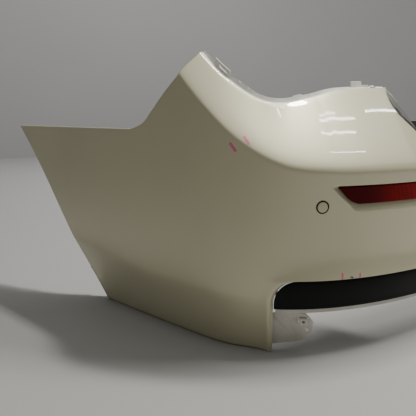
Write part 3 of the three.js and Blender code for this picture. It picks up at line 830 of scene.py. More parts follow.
@dataclass(frozen=True)
class SkinBuild:
    """Mesh spacing and edge details of the skin, in metres."""

    column_step: float = 0.0065
    corner_step: float = 0.003
    edge_radius: float = 0.0030
    wall: float = 0.0028
    return_lower: float = 0.012
    return_arch: float = 0.020
    return_sill: float = 0.022
    return_lamp: float = 0.009
    return_side: float = 0.014
    flange_step: float = 0.003
    flange_profile: tuple[tuple[float, float], ...] = (
        (0.540, 0.002), (0.600, 0.003), (0.700, 0.004), (0.780, 0.006), (0.818, 0.0065),
        (0.825, 0.0098), (0.850, 0.0098), (0.857, 0.0078), (0.930, 0.0076), (0.955, 0.0080),
        (0.985, 0.0105), (1.060, 0.0095), (1.087, 0.002),
    )


class Skin:
    """The painted moulding with its rolled edges and flanges, into which other parts cut recesses
    and holes.
    """

    BAR_ROWS = (*np.linspace(0, 0.15, 13)[:-1], *np.linspace(0.15, 0.97, 26), 1)
    SHOULDER_ROWS = (0, 0.02, 0.045, 0.075, 0.11, 0.15, 0.2, 0.26, *np.linspace(0.33, 0.9, 10), 1)
    LEG_ROWS = (*np.linspace(0, 0.88, 12), 0.94, 1)
    LEG_TOP_ROWS = (0.1, 0.25, 0.5, 0.75, 1)
    MARGIN = 0.010

    def __init__(self, surface: Surface, build: SkinBuild) -> None:
        """Prepares the grid lines.

        Args:
            surface: The skin as a surface.
            build: Spacing and edge details.
        """
        self.surface = surface
        self.shape = surface.shape
        self.details = build
        shape = self.shape
        self.rear = self._lines([0, 0.480, 0.507, 0.533, 0.560, shape.open_start])
        self.corner = self._lines([shape.open_start, shape.kink_girth])
        self.flank = self._lines([shape.kink_girth, shape.ramp_end, shape.top_end_girth])
        self.boot_columns = (0.480, 0.560)

    def _lines(self, keys: Sequence[float]) -> Array:
        """Evenly spread stations that include the key ones."""
        step = self.details.column_step
        runs = [np.linspace(a, b, round((b - a) / step) + 1)[:-1] for a, b in zip(keys, keys[1:])]
        return np.concatenate([*runs, [keys[-1]]])

    def flank_top(self, s: Array) -> Array:
        """Height of the flank's top edge."""
        shape = self.shape
        return np.where(s < shape.ramp_end, self.surface.flank_ramp(s), shape.side_top_z)

    def shoulder_top(self, station: Array) -> tuple[Array, Array]:
        """Girth and height of the top edge above each station: sill, boot cut or lamp cut."""
        shape = self.shape
        sill_end, boot_end = self.boot_columns
        t = np.clip(station / sill_end, 0, 1)
        rise = np.clip(t - shape.sill_level, 0, None) / (1 - shape.sill_level)
        sill = np.stack([shape.sill_girth * t, mix(shape.sill_z, shape.sill_end_z, rise * rise)])
        b = np.clip((station - sill_end) / (boot_end - sill_end), 0, 1)
        corners = np.array([
            (shape.sill_girth, shape.sill_end_z),
            (shape.sill_girth + 0.080, shape.sill_end_z + 0.011),
            (shape.boot_girth + 0.045, shape.boot_z - 0.035),
            (shape.boot_girth, shape.boot_z),
        ])
        weights = np.stack([(1 - b) ** 3, 3 * b * (1 - b) ** 2, 3 * b * b * (1 - b), b**3])
        boot = corners.T @ weights
        along = np.clip((station - boot_end) / (shape.kink_girth - boot_end), 0, 1)
        girth = mix(shape.boot_girth, shape.peak_girth, along)
        lamp = np.stack([girth, self.surface.lamp_cut(girth)])
        top = np.where(station <= sill_end, sill, np.where(station < boot_end, boot, lamp))
        return top[0], top[1]

    def _column_girth(self, station: Array, z: Array) -> Array:
        """Girth of a column at a height: along the flank it slants with the arch."""
        shape = self.shape
        fore = (station - shape.kink_girth) / (shape.top_end_girth - shape.kink_girth)
        flank = mix(shape.kink_girth, self.surface.arch_girth(z), fore)
        return np.where(station > shape.kink_girth + 1e-6, flank, station)

    def _bar_place(self, station: Array, row: Array) -> tuple[Array, Array]:
        """Girth and height in the bar and the flank above the lip."""
        rear = station <= self.shape.kink_girth + 1e-6
        top = np.where(rear, self.surface.crease_z(station), self.flank_top(station))
        z = mix(self.shape.lip_z - self.MARGIN, top, row)
        return self._column_girth(station, z), z

    def _shoulder_place(self, station: Array, row: Array) -> tuple[Array, Array]:
        """Girth and height in the shoulder above the crease."""
        girth, top = self.shoulder_top(station)
        return mix(station, girth, row), mix(self.surface.crease_z(station), top, row)

    def _leg_place(self, station: Array, row: Array) -> tuple[Array, Array]:
        """Girth and height in a leg; rows up to 1 lie below its crease, and up to 2 above."""
        rough = self._column_girth(station, np.full_like(station, self.shape.lower_crease_z))
        top = self.shape.lip_z - self.MARGIN
        crease = np.minimum(self.surface.lower_crease_z(rough), top - 0.004)
        z = np.where(row <= 1, crease * row, mix(crease, top, row - 1))
        return self._column_girth(station, z), z

    def _patch(
        self, name: str, stations: Array, rows: Sequence[float], place: Callable
    ) -> Piece:
        """One grid of the skin, whose vertices know their girth and height."""
        patch = add_grid(name, len(stations) - 1, len(rows) - 1)
        u = np.rint(read_floats(patch, "u") * (len(stations) - 1)).astype(int)
        v = np.rint(read_floats(patch, "v") * (len(rows) - 1)).astype(int)
        signed = stations[u]
        girth, z = place(np.abs(signed), np.array(rows, float)[v])
        girth = np.where(signed < 0, -girth, girth)
        set_coordinates(patch, self.surface.point(girth, z))
        write_floats(patch, "girth", girth)
        write_floats(patch, "height", z)
        drop_floats(patch, "u", "v")
        return patch

    def _sheet(self) -> Piece:
        """The outer face of the skin as one open sheet."""
        right = np.concatenate([self.rear, self.corner[1:], self.flank[1:]])
        upper = np.concatenate([self.rear, self.corner[1:]])
        leg = np.concatenate([self.corner, self.flank[1:]])
        leg_rows = (*self.LEG_ROWS, *(1 + r for r in self.LEG_TOP_ROWS))
        bar, shoulder = (np.concatenate([-half[::-1], half[1:]]) for half in (right, upper))
        patches = [
            self._patch("bumper_skin_outer", bar, self.BAR_ROWS, self._bar_place),
            self._patch("shoulder", shoulder, self.SHOULDER_ROWS, self._shoulder_place),
            self._patch("left_leg", -leg[::-1], leg_rows, self._leg_place),
            self._patch("right_leg", leg, leg_rows, self._leg_place),
        ]
        deselect()
        for patch in patches:
            patch.select_set(True)
        bpy.context.view_layer.objects.active = patches[0]
        bpy.ops.object.join()
        sheet = patches[0]
        edit(sheet)
        bpy.ops.mesh.remove_doubles(threshold=3e-5)
        leave_edit()
        return sheet

    def _return_depth(self, girth: Array, z: Array) -> Array:
        """How deep the edge turns in, by where it is."""
        shape, details = self.shape, self.details
        s = np.abs(girth)
        at_arch = s > self.surface.arch_girth(z) - 0.002
        low = z <= shape.lip_z + 0.001
        upper = np.where(s <= shape.peak_girth, details.return_lamp, details.return_side)
        sill = (s < shape.boot_girth + 0.040) & (z < shape.boot_z - 0.001)
        upper = np.where(sill, details.return_sill, upper)
        return np.where(at_arch, details.return_arch, np.where(low, details.return_lower, upper))

    def _extrude_selected(self, sheet: Piece, inside: Callable, rise: Callable) -> Array:
        """Extrudes the selected edges to a depth inside the skin and a rise.

        Args:
            sheet: The sheet, with edges selected.
            inside: Depth from girth and height.
            rise: Rise from girth and height.

        Returns:
            Which vertices are new.
        """
        bpy.ops.object.mode_set(mode="EDIT")
        bpy.ops.mesh.extrude_region()
        leave_edit()
        new = selected_vertices(sheet)
        girth, z = read_floats(sheet, "girth"), read_floats(sheet, "height")
        depth = self.surface.hollow(girth, z) + inside(girth, z)
        co = coordinates(sheet)
        co[new] = self.surface.inset_point(girth, z + rise(girth, z), depth)[new]
        set_coordinates(sheet, co)
        return new

    def _select_edges(self, sheet: Piece, vertices: Array, boundary: bool = False) -> None:
        """Selects the edges between marked vertices, out of all or of the selected ones."""
        mesh = sheet.data
        ends = np.empty(len(mesh.edges) * 2, int)
        mesh.edges.foreach_get("vertices", ends)
        ends = ends.reshape(-1, 2)
        chosen = vertices[ends].all(axis=1)
        if boundary:
            selected = np.empty(len(mesh.edges), bool)
            mesh.edges.foreach_get("select", selected)
            chosen &= selected
        mesh.edges.foreach_set("select", chosen)
        mesh.vertices.foreach_set("select", vertices)
        mesh.polygons.foreach_set("select", np.zeros(len(mesh.polygons), bool))
        mesh.update()

    def _roll_edges(self, sheet: Piece) -> None:
        """Turns every free edge inwards over a rounded fold, and stands the lamp flanges up."""
        details, shape = self.details, self.shape
        edit(sheet, select=False)
        bpy.ops.mesh.select_mode(type="EDGE")
        select_free_edges()
        leave_edit()
        rim = selected_vertices(sheet)
        girth, z = read_floats(sheet, "girth"), read_floats(sheet, "height")
        middle = (np.abs(girth) < shape.open_start + 1e-5) & (z < shape.lip_z)
        keep = rim & ~(middle & (z > 1e-6))
        self._select_edges(sheet, keep, boundary=True)
        write_floats(sheet, "fold", keep)
        new = self._extrude_selected(sheet, self._return_depth, lambda g, z: np.zeros_like(z))
        fold = read_floats(sheet, "fold")
        fold[new] = 0
        write_floats(sheet, "fold", fold)

        girth, z = read_floats(sheet, "girth"), read_floats(sheet, "height")
        s = np.abs(girth)
        on_lamp = (s >= shape.boot_girth - 1e-5) & (s <= shape.peak_girth + 1e-5)
        on_lamp &= np.abs(z - self.surface.lamp_cut(s)) < 0.0005
        self._paint_flange(sheet, new & on_lamp)
        self._select_edges(sheet, new & on_lamp)
        self._extrude_selected(
            sheet,
            lambda g, h: np.full_like(g, details.return_lamp + details.flange_step),
            lambda g, h: self._flange_rise(np.abs(g)),
        )
        self._select_edges(sheet, read_floats(sheet, "fold") > 0.5)
        bpy.ops.object.mode_set(mode="EDIT")
        bpy.ops.mesh.bevel(
            offset=details.edge_radius, segments=4, affect="EDGES", clamp_overlap=False
        )
        leave_edit()

    def _paint_flange(self, sheet: Piece, vertices: Array) -> None:
        """Gives the faces at the marked vertices the flange's finish."""
        faces = np.zeros(len(sheet.data.polygons), int)
        for face in sheet.data.polygons:
            if sum(vertices[i] for i in face.vertices) >= 2:
                faces[face.index] = FLANGE_INDEX
        sheet.data.polygons.foreach_set("material_index", faces)

    def _flange_rise(self, s: Array) -> Array:
        """Height of the flange behind the lamp cut, with its steps."""
        return np.interp(s, *np.array(self.details.flange_profile).T)

    def _thicken(self, sheet: Piece) -> None:
        """Gives the sheet its wall, with bare plastic on the inner side."""
        apply_modifier(
            sheet, "SOLIDIFY", thickness=self.details.wall, offset=-1.0, use_even_offset=False,
            use_quality_normals=True, material_offset=1, material_offset_rim=0,
        )
        edit(sheet)
        bpy.ops.mesh.select_mode(type="VERT")
        bpy.ops.mesh.normals_make_consistent(inside=False)
        leave_edit()

    def build(self, paint: Material, bare: Material, flange: Material) -> Piece:
        """Models the skin before anything is cut into it."""
        skin = self._sheet()
        for material in (paint, bare, flange, bare):
            skin.data.materials.append(material)
        self._roll_edges(skin)
        self._thicken(skin)
        drop_floats(skin, "girth", "height", "fold")
        return skin


def lend_slots(tool: Piece, skin: Piece, index: int) -> None:
    """Gives a tool the skin's material slots, with all its faces in one of them."""
    for material in skin.data.materials:
        tool.data.materials.append(material)
    tool.data.polygons.foreach_set("material_index", np.full(len(tool.data.polygons), index))


@dataclass(frozen=True)
class OpeningSizes:
    """Edge of the open middle: a rolled rim, a ledge and a return, in metres."""

    rim_side: float = 0.014
    rim_depth: float = 0.0055
    rim_top: float = 0.003
    ledge_side: float = 0.0032
    ledge_top: float = 0.0
    ledge_depth: float = 0.0012
    depth: float = 0.012
    wall: float = 0.003
    columns: int = 220
    straight_rows: int = 8
    arc_rows: int = 16


class OpenMiddle:
    """The opening between the legs, cut with a rolled rim and a return behind it."""

    def __init__(self, surface: Surface, sizes: OpeningSizes) -> None:
        """Prepares the opening."""
        self.surface = surface
        self.sizes = sizes

    def _level(self, side: float, top: float, inside: float, low: float) -> Place:
        """Places of one layer, grown by an amount beside and above the opening."""
        sizes, shape = self.sizes, self.surface.shape
        phi = np.linspace(0, math.pi / 2, sizes.arc_rows + 1)
        centre_z = shape.lip_z - shape.open_radius
        straight = np.linspace(low, centre_z, sizes.straight_rows + 1)[:-1]
        heights = np.concatenate([straight, centre_z + (shape.open_radius + top) * np.sin(phi)])
        arc = shape.open_start + (shape.open_radius + side) * np.cos(phi)
        edges = np.concatenate([np.full(sizes.straight_rows, shape.open_girth + side), arc])

        def place(u: Array, v: Array) -> Array:
            row = np.rint(v * (len(heights) - 1)).astype(int)
            return self.surface.point(mix(-edges[row], edges[row], u), heights[row], inside)

        return place

    def _solid(self, levels: Sequence[Place]) -> Piece:
        """Closed solid across the opening."""
        sizes = self.sizes
        return mapped_solid("opening", sizes.columns, sizes.straight_rows + sizes.arc_rows, levels)

    def cut_into(self, skin: Piece) -> None:
        """Adds the return behind the skin, and cuts the opening with its rim."""
        sizes = self.sizes
        side, top = sizes.rim_side + sizes.ledge_side, sizes.rim_top + sizes.ledge_top
        backing_side, backing_top = side - sizes.wall, top + sizes.wall - 0.001
        backing = self._solid([
            self._level(backing_side, backing_top, sizes.wall / 2, 0.0),
            self._level(backing_side, backing_top, sizes.depth, 0.0),
        ])
        lend_slots(backing, skin, BARE_INDEX)
        carve(skin, backing, "UNION")
        below = -0.006
        levels = [self._level(side, top, CUT_AHEAD, below)]
        for a in np.radians((0, 15, 30, 45, 60, 75, 90)):
            roll_side = sizes.ledge_side + sizes.rim_side * (1 - math.sin(a))
            roll_top = sizes.ledge_top + sizes.rim_top * (1 - math.sin(a))
            depth = sizes.rim_depth * (1 - math.cos(a))
            levels.append(self._level(roll_side, roll_top, depth, below))
        levels.append(self._level(0.0006, 0, sizes.rim_depth + sizes.ledge_depth * 0.5, below))
        ledge = sizes.rim_depth + sizes.ledge_depth
        levels.append(self._level(0, 0, ledge, below))
        throat = [
            self._level(0, 0, ledge - 0.0005, below),
            self._level(0, 0, sizes.depth + 0.006, below),
        ]
        for layers, index in ((levels, PAINT_INDEX), (throat, BARE_INDEX)):
            cutter = self._solid(layers)
            lend_slots(cutter, skin, index)
            carve(skin, cutter)


@dataclass(frozen=True)
class FlangeBlock:
    """A block that follows the lamp cut: a tab to add or a gap to cut, in metres.

    girths are its start and end along the cut, rises its low and high edge above the cut,
    depths its front and back behind the flange, and lean shifts its top to the middle.
    """

    girths: Pair
    rises: Pair
    depths: Pair
    lean: float = 0.0


class LampFlangeTabs:
    """The slotted tab, the upright tab and the notches on the flange behind a lamp."""

    BASE = 0.009
    EDGE = 0.0007
    NOTCH_DEPTHS = (-0.002, 0.020)
    TABS = (
        FlangeBlock((1.023, 1.056), (-0.001, 0.0155), (0.001, 0.0038)),
        FlangeBlock((0.612, 0.648), (-0.003, 0.0135), (0.002, 0.0046), -0.006),
        FlangeBlock((0.592, 0.614), (-0.003, 0.0062), (0.002, 0.0046)),
    )
    CUTS = (
        FlangeBlock((1.030, 1.048), (0.0058, 0.0108), (-0.008, 0.020)),
        FlangeBlock((0.978, 0.982), (0.0075, 0.020), NOTCH_DEPTHS),
        FlangeBlock((0.961, 0.965), (0.0055, 0.020), NOTCH_DEPTHS),
        FlangeBlock((0.998, 1.003), (0.0085, 0.020), NOTCH_DEPTHS),
    )

    def __init__(self, surface: Surface, side: Side) -> None:
        """Prepares one side's tabs."""
        self.surface = surface
        self.side = side

    def _solid(self, shape: FlangeBlock) -> Piece:
        """A closed block on this side's flange."""
        side = self.side.value
        start, end = shape.girths if side > 0 else shape.girths[::-1]

        def level(depth: float) -> Place:
            """Places at a depth behind the flange."""

            def place(u: Array, v: Array) -> Array:
                s = mix(start, end, u)
                edge = self.surface.lamp_cut(s)
                girth = side * (s - shape.lean * v)
                inset = self.surface.hollow(side * s, edge) + self.BASE + depth
                return self.surface.inset_point(girth, edge + mix(*shape.rises, v), inset)

            return place

        return mapped_solid("tab", 12, 5, [level(depth) for depth in shape.depths])

    def join_to(self, skin: Piece) -> None:
        """Adds the tabs to the skin, and cuts the slot and the notches."""
        tabs = [self._solid(shape) for shape in self.TABS]
        for tab in tabs:
            soften(tab, self.EDGE)
            lend_slots(tab, skin, FLANGE_INDEX)
            carve(skin, tab, "UNION")
        cuts = [self._solid(shape) for shape in self.CUTS]
        for cut in cuts:
            lend_slots(cut, skin, FLANGE_INDEX)
            carve(skin, cut)


# ---- Reflectors ----------------------------------------------------------------------


@dataclass(frozen=True)
class ReflectorSizes:
    """Outline of a reflector on the skin and the recess round it, in metres."""

    inner: float = 0.515
    outer: float = 0.786
    low: float = 0.2795
    high: float = 0.311
    slant: float = 0.034
    low_corner: float = 0.013
    high_corner: float = 0.003
    recess_below: float = 0.012
    recess_above: float = 0.002
    recess_outer: float = 0.013
    recess_inner: float = 0.005
    mouth: float = 0.008
    depth: float = 0.014
    rim: float = 0.0026
    clearance: float = 0.0012


@dataclass(frozen=True)
class Growth:
    """How far an outline grows on each side, and how deep it lies inside the skin."""

    below: float
    above: float
    outer: float
    inner: float
    inside: float

    @classmethod
    def even(cls, by: float, inside: float) -> "Growth":
        """The same growth all round."""
        return cls(by, by, by, by, inside)

    def more(self, by: float, inside: float) -> "Growth":
        """Grown further all round, at another depth."""
        return Growth(self.below + by, self.above + by, self.outer + by, self.inner + by, inside)


class Reflector:
    """A red reflector in its recess, with the housing behind it."""

    COLUMNS = 96
    ROWS = 20

    def __init__(self, surface: Surface, side: Side, sizes: ReflectorSizes) -> None:
        """Prepares one side's reflector."""
        self.surface = surface
        self.side = side
        self.sizes = sizes

    def _level(self, growth: Growth) -> Place:
        """Places for one layer with a grown outline."""
        sizes = self.sizes

        def place(u: Array, v: Array) -> Array:
            z = mix(sizes.low - growth.below, sizes.high + growth.above, v)
            slant = sizes.slant * np.minimum((sizes.high - z) / (sizes.high - sizes.low), 1)
            outer = sizes.outer + growth.outer - slant
            low_corner = sizes.low_corner + max(growth.outer, 0)
            high_corner = sizes.high_corner + max(growth.above, 0)
            outer -= self._corner(z - (sizes.low - growth.below), low_corner)
            outer -= self._corner(sizes.high + growth.above - z, high_corner)
            inner = sizes.inner - growth.inner
            signed = self.side.value
            across = mix(inner, outer, u) if signed > 0 else mix(outer, inner, u)
            return self.surface.point(signed * across, z, growth.inside)

        return place

    @staticmethod
    def _corner(height: Array, radius: float) -> Array:
        """How far a rounded corner draws the outline in at a height above its edge."""
        away = np.clip(1 - height / radius, 0, 1)
        return radius * (1 - np.sqrt(1 - away * away))

    def _solid(self, name: str, growths: Sequence[Growth]) -> Piece:
        """Closed solid through several layers."""
        return mapped_solid(name, self.COLUMNS, self.ROWS, [self._level(g) for g in growths])

    def cut_into(self, skin: Piece) -> None:
        """Adds the recess's pan behind the skin and hollows it from the front."""
        sizes = self.sizes
        wide = Growth(
            sizes.recess_below, sizes.recess_above, sizes.recess_outer, sizes.recess_inner, 0
        )
        wall = self.surface.shape.wall
        pan = self._solid("pan", [wide.more(wall, 0.0015), wide.more(wall, sizes.depth + wall)])
        lend_slots(pan, skin, BARE_INDEX)
        carve(skin, pan, "UNION")
        angles = np.radians((0, 22, 45, 68, 90))
        rim = [
            wide.more(sizes.rim * (1 - math.sin(a)), sizes.rim * (1 - math.cos(a))) for a in angles
        ]
        throat = [Growth.even(sizes.clearance, d) for d in (sizes.mouth, sizes.depth)]
        cutter = self._solid("cutter", [wide.more(sizes.rim, CUT_AHEAD), *rim, *throat])
        lend_slots(cutter, skin, PAINT_INDEX)
        carve(skin, cutter)

    def lens(self) -> Piece:
        """The crowned red lens with a rounded edge."""
        grow, crown = 0.0004, 0.0035
        layers = [
            Growth.even(grow - 0.0016, crown),
            Growth.even(grow - 0.0007, crown + 0.0003),
            Growth.even(grow - 0.0001, crown + 0.0011),
            Growth.even(grow, crown + 0.0018),
            Growth.even(grow, 0.008),
        ]
        lens = self._solid(f"reflector_lens_{self.side.label}_red", layers)
        shade(lens, 40)
        return lens

    def housing(self) -> Piece:
        """The tray behind the lens, with softened edges."""
        layers = [Growth.even(0, inside) for inside in (0.0083, 0.0137)]
        tray = self._solid(f"reflector_housing_{self.side.label}_tray", layers)
        soften(tray, 0.0006)
        shade(tray)
        return tray

    def dress(self, finishes: "Finishes") -> None:
        """Builds and seats both pieces."""
        label = self.side.label
        put(self.lens(), finishes.red, [f"reflector_lens_{label}"])
        put(self.housing(), finishes.black, [f"reflector_housing_{label}"])


# ---- Parking sensors -----------------------------------------------------------------


@dataclass(frozen=True)
class SensorSizes:
    """Sizes of a parking sensor, its ring and its hole, in metres."""

    z: float = 0.277
    face: float = 0.0093
    ring: float = 0.0116
    depth: float = 0.024
    proud: float = 0.0006
    ring_proud: float = 0.0003
    gap: float = 0.0003


SENSOR_GIRTHS = {
    "outer_left": -0.816, "inner_left": -0.300, "inner_right": 0.300, "outer_right": 0.816,
}


class ParkingSensor:
    """An ultrasonic sensor with a painted face, in a rubber ring held behind the skin."""

    def __init__(self, surface: Surface, place: str, girth: float, sizes: SensorSizes) -> None:
        """Prepares one sensor."""
        self.place = place
        self.sizes = sizes
        self.seat = surface.seat(girth, sizes.z)

    def cut_into(self, skin: Piece) -> None:
        """Bores the stepped hole with a rounded rim."""
        sizes = self.sizes
        wide, narrow = sizes.ring + 0.0005, sizes.ring - 0.0004
        profile = [(0, -0.030), (narrow, -0.030), (narrow, -0.0010), (wide, -0.0010)]
        profile += [(wide, -0.0006), (wide + 0.0002, -0.0002), (wide + 0.0007, 0.0001)]
        profile += [(wide + 0.0007, 0.012), (0, 0.012)]
        cutter = turned("cutter", profile, self.seat)
        lend_slots(cutter, skin, PAINT_INDEX)
        carve(skin, cutter)

    def _face(self) -> Piece:
        """The sensor: a gently crowned disc with a rounded edge on a neck."""
        sizes = self.sizes
        r, top, neck = sizes.face, sizes.proud, sizes.face - 0.0004
        foot = -sizes.depth
        profile = [(0, foot), (neck - 0.001, foot), (neck, foot + 0.001), (neck, -0.002)]
        profile += [(r, -0.002), (r, top - 0.0006), (r - 0.00015, top - 0.0003)]
        profile += [(r - 0.0005, top - 0.00012), (r * 0.8, top - 0.00004), (r * 0.4, top), (0, top)]
        return turned(f"parking_sensor_{self.place}_face", profile, self.seat)

    def _ring(self) -> Piece:
        """The rubber ring: a rounded lip on a sleeve."""
        sizes = self.sizes
        inner, outer, top = sizes.face + sizes.gap, sizes.ring, sizes.ring_proud
        sleeve = outer - 0.0007
        profile = [(inner, -0.007), (sleeve, -0.007), (sleeve, -0.0006), (outer, -0.0006)]
        profile += [(outer, top - 0.0005), (outer - 0.0002, top - 0.00015), (outer - 0.0006, top)]
        profile += [(inner + 0.0003, top - 0.0001), (inner, top - 0.0005)]
        return turned(f"sensor_ring_{self.place}_rubber", profile, self.seat)

    def _holder(self) -> Piece:
        """The holder behind the skin, with softened edges and its plug socket hollowed."""
        holder = copy_of_node(f"sensor_holder_{self.place}", f"sensor_holder_{self.place}_clip")
        soften(holder, 0.0006)
        cavity = block("cavity", (0.012, 0.014, 0.0075), self.seat, (0, 0.0245, -0.017))
        carve(holder, cavity)
        shade(holder)
        return holder

    def dress(self, finishes: "Finishes") -> None:
        """Builds and seats the three pieces."""
        face, ring, holder = self._face(), self._ring(), self._holder()
        for piece in (face, ring):
            shade(piece)
        put(face, finishes.plain_paint, [f"parking_sensor_{self.place}"])
        put(ring, finishes.rubber, [f"sensor_ring_{self.place}"])
        put(holder, finishes.black, [f"sensor_holder_{self.place}"])


# ---- Lower trim ----------------------------------------------------------------------


@dataclass(frozen=True)
class TrimSizes:
    """Section of the black trim strip and its carrier, in metres."""

    low: float = 0.092
    high: float = 0.144
    inset: float = 0.009
    belly: float = 0.003
    wall: float = 0.0026
    foot: float = 0.014
    bead: float = 0.0016
    carrier_low: float = 0.084
    carrier_front: float = 0.012
    carrier_back: float = 0.034
    rib_inset: float = 0.0255
    rib_wall: float = 0.003
    rib_high: float = 0.120
    end_gap: float = 0.001
    columns: int = 280


class LowerTrim:
    """The black strip under the lip and the natural-plastic carrier that holds it."""

    def __init__(self, surface: Surface, sizes: TrimSizes) -> None:
        """Prepares the trim."""
        self.surface = surface
        self.sizes = sizes

    def _swept(
        self, name: str, section: Sequence[Pair], end: Callable[[Array], Array]
    ) -> Piece:
        """An open sheet that follows the plan outline.

        Args:
            name: Name of the piece.
            section: Height and inset pairs from top to bottom.
            end: Girth of the ends at a height.

        Returns:
            The sheet.
        """
        heights, insets = np.array(section[::-1], float).T
        sheet = add_grid(name, self.sizes.columns, len(section) - 1)
        u = read_floats(sheet, "u")
        row = np.rint(read_floats(sheet, "v") * (len(section) - 1)).astype(int)
        z = heights[row]
        girth = mix(-end(z), end(z), u)
        set_coordinates(sheet, self.surface.inset_point(girth, z, insets[row]))
        drop_floats(sheet, "u", "v")
        return sheet

    def _strip_end(self, z: Array) -> Array:
        """Where the strip ends, following the rounded corner of the open middle."""
        edge = self.surface.open_edge(np.minimum(z + 0.0008, self.surface.shape.lip_z))
        return edge - self.sizes.end_gap

    def _carrier_end(self, z: Array) -> Array:
        """Where the carrier ends, straight up and down."""
        return np.full_like(z, self.surface.shape.open_girth - 0.004)

    def strip(self) -> Piece:
        """The bellied strip with a bead and a foot along its lower edge."""
        sizes = self.sizes
        v = np.linspace(1, 0.06, 15)
        heights = mix(sizes.low, sizes.high, np.sin(v * math.pi / 2))
        insets = sizes.inset - sizes.belly * np.sin(v * math.pi)
        section = list(zip(heights, insets))
        bead, bead_z, bead_in = sizes.bead, sizes.low + sizes.bead, section[-1][1] - 0.0006
        for a in np.radians((0, 30, 60, 90)):
            section.append((bead_z - bead * math.sin(a), bead_in + bead * (1 - math.cos(a))))
        section.append((sizes.low, sizes.inset + sizes.foot + 0.001))
        strip = self._swept("lower_trim_strip_black", section, self._strip_end)
        apply_modifier(strip, "SOLIDIFY", thickness=sizes.wall, offset=-1.0, use_even_offset=True)
        face_outwards(strip)
        shade(strip, 40)
        return strip

    def carrier(self) -> Piece:
        """The carrier: a shelf under the strip with an upright wall behind it."""
        sizes = self.sizes
        high, low = sizes.low - 0.0003, sizes.carrier_low
        front, back, top = sizes.carrier_front, sizes.carrier_back, sizes.rib_high
        wall_front, wall_back = sizes.rib_inset, sizes.rib_inset + sizes.rib_wall
        edge, fillet = 0.0006, 0.001
        section = [
            (high, front + edge), (high - edge, front), (low + edge, front), (low, front + edge),
            (low, back - edge), (low + edge, back), (high - edge, back), (high, back - edge),
            (high, wall_back + fillet), (high + fillet, wall_back),
            (top - edge, wall_back), (top, wall_back - edge),
            (top, wall_front + edge), (top - edge, wall_front),
            (high + fillet, wall_front), (high, wall_front - fillet), (high, front + edge),
        ]
        carrier = self._swept("trim_carrier_natural", section, self._carrier_end)
        edit(carrier)
        bpy.ops.mesh.remove_doubles(threshold=1e-6)
        bpy.ops.mesh.select_mode(type="EDGE")
        bpy.ops.mesh.select_all(action="DESELECT")
        select_free_edges()
        bpy.ops.mesh.edge_face_add()
        bpy.ops.mesh.select_mode(type="VERT")
        bpy.ops.mesh.select_all(action="SELECT")
        bpy.ops.mesh.normals_make_consistent(inside=False)
        leave_edit()
        shade(carrier, 40)
        return carrier

    def dress(self, finishes: "Finishes") -> None:
        """Builds and seats both pieces."""
        put(self.strip(), finishes.trim, ["lower_trim_strip"])
        put(self.carrier(), finishes.natural, ["trim_carrier"])


# ---- Fixings -------------------------------------------------------------------------


class EndBracket:
    """The folded plate at the foot of a leg with its clip nut."""

    def __init__(self, side: Side) -> None:
        """Prepares one side's bracket."""
        self.side = side

    def dress(self, finishes: "Finishes") -> None:
        """Builds and seats the plate and the nut."""
        label = self.side.label
        plate = copy_of_node(f"end_bracket_{label}", f"end_bracket_{label}_plate")
        soften(plate, 0.0009)
        shade(plate)
        nut = copy_of_node(f"clip_nut_{label}", f"clip_nut_{label}_body")
        soften(nut, 0.0005)
        shade(nut)
        put(plate, finishes.natural, [f"end_bracket_{label}"])
        put(nut, finishes.natural, [f"clip_nut_{label}"])


class ArchNuts:
    """Spring nuts clipped to the wheel-arch return."""

    COUNT = 3

    def __init__(self, side: Side) -> None:
        """Prepares one side's nuts."""
        self.side = side

    def dress(self, finishes: "Finishes") -> None:
        """Builds and seats each nut with rounded folds."""
        for number in range(1, self.COUNT + 1):
            node = f"arch_nut_{self.side.label}_{number}"
            nut = copy_of_node(node, f"{node}_spring")
            soften(nut, 0.0005)
            shade(nut)
            put(nut, finishes.steel, [node])


# ---- Towing-eye cover ----------------------------------------------------------------


@dataclass(frozen=True)
class TowSizes:
    """Sizes of the towing-eye cover, in metres."""

    girth: float = 0.380
    z: float = 0.222
    width: float = 0.066
    height: float = 0.058
    gap: float = 0.0008
    rim: float = 0.0009
    squareness: float = 0.06


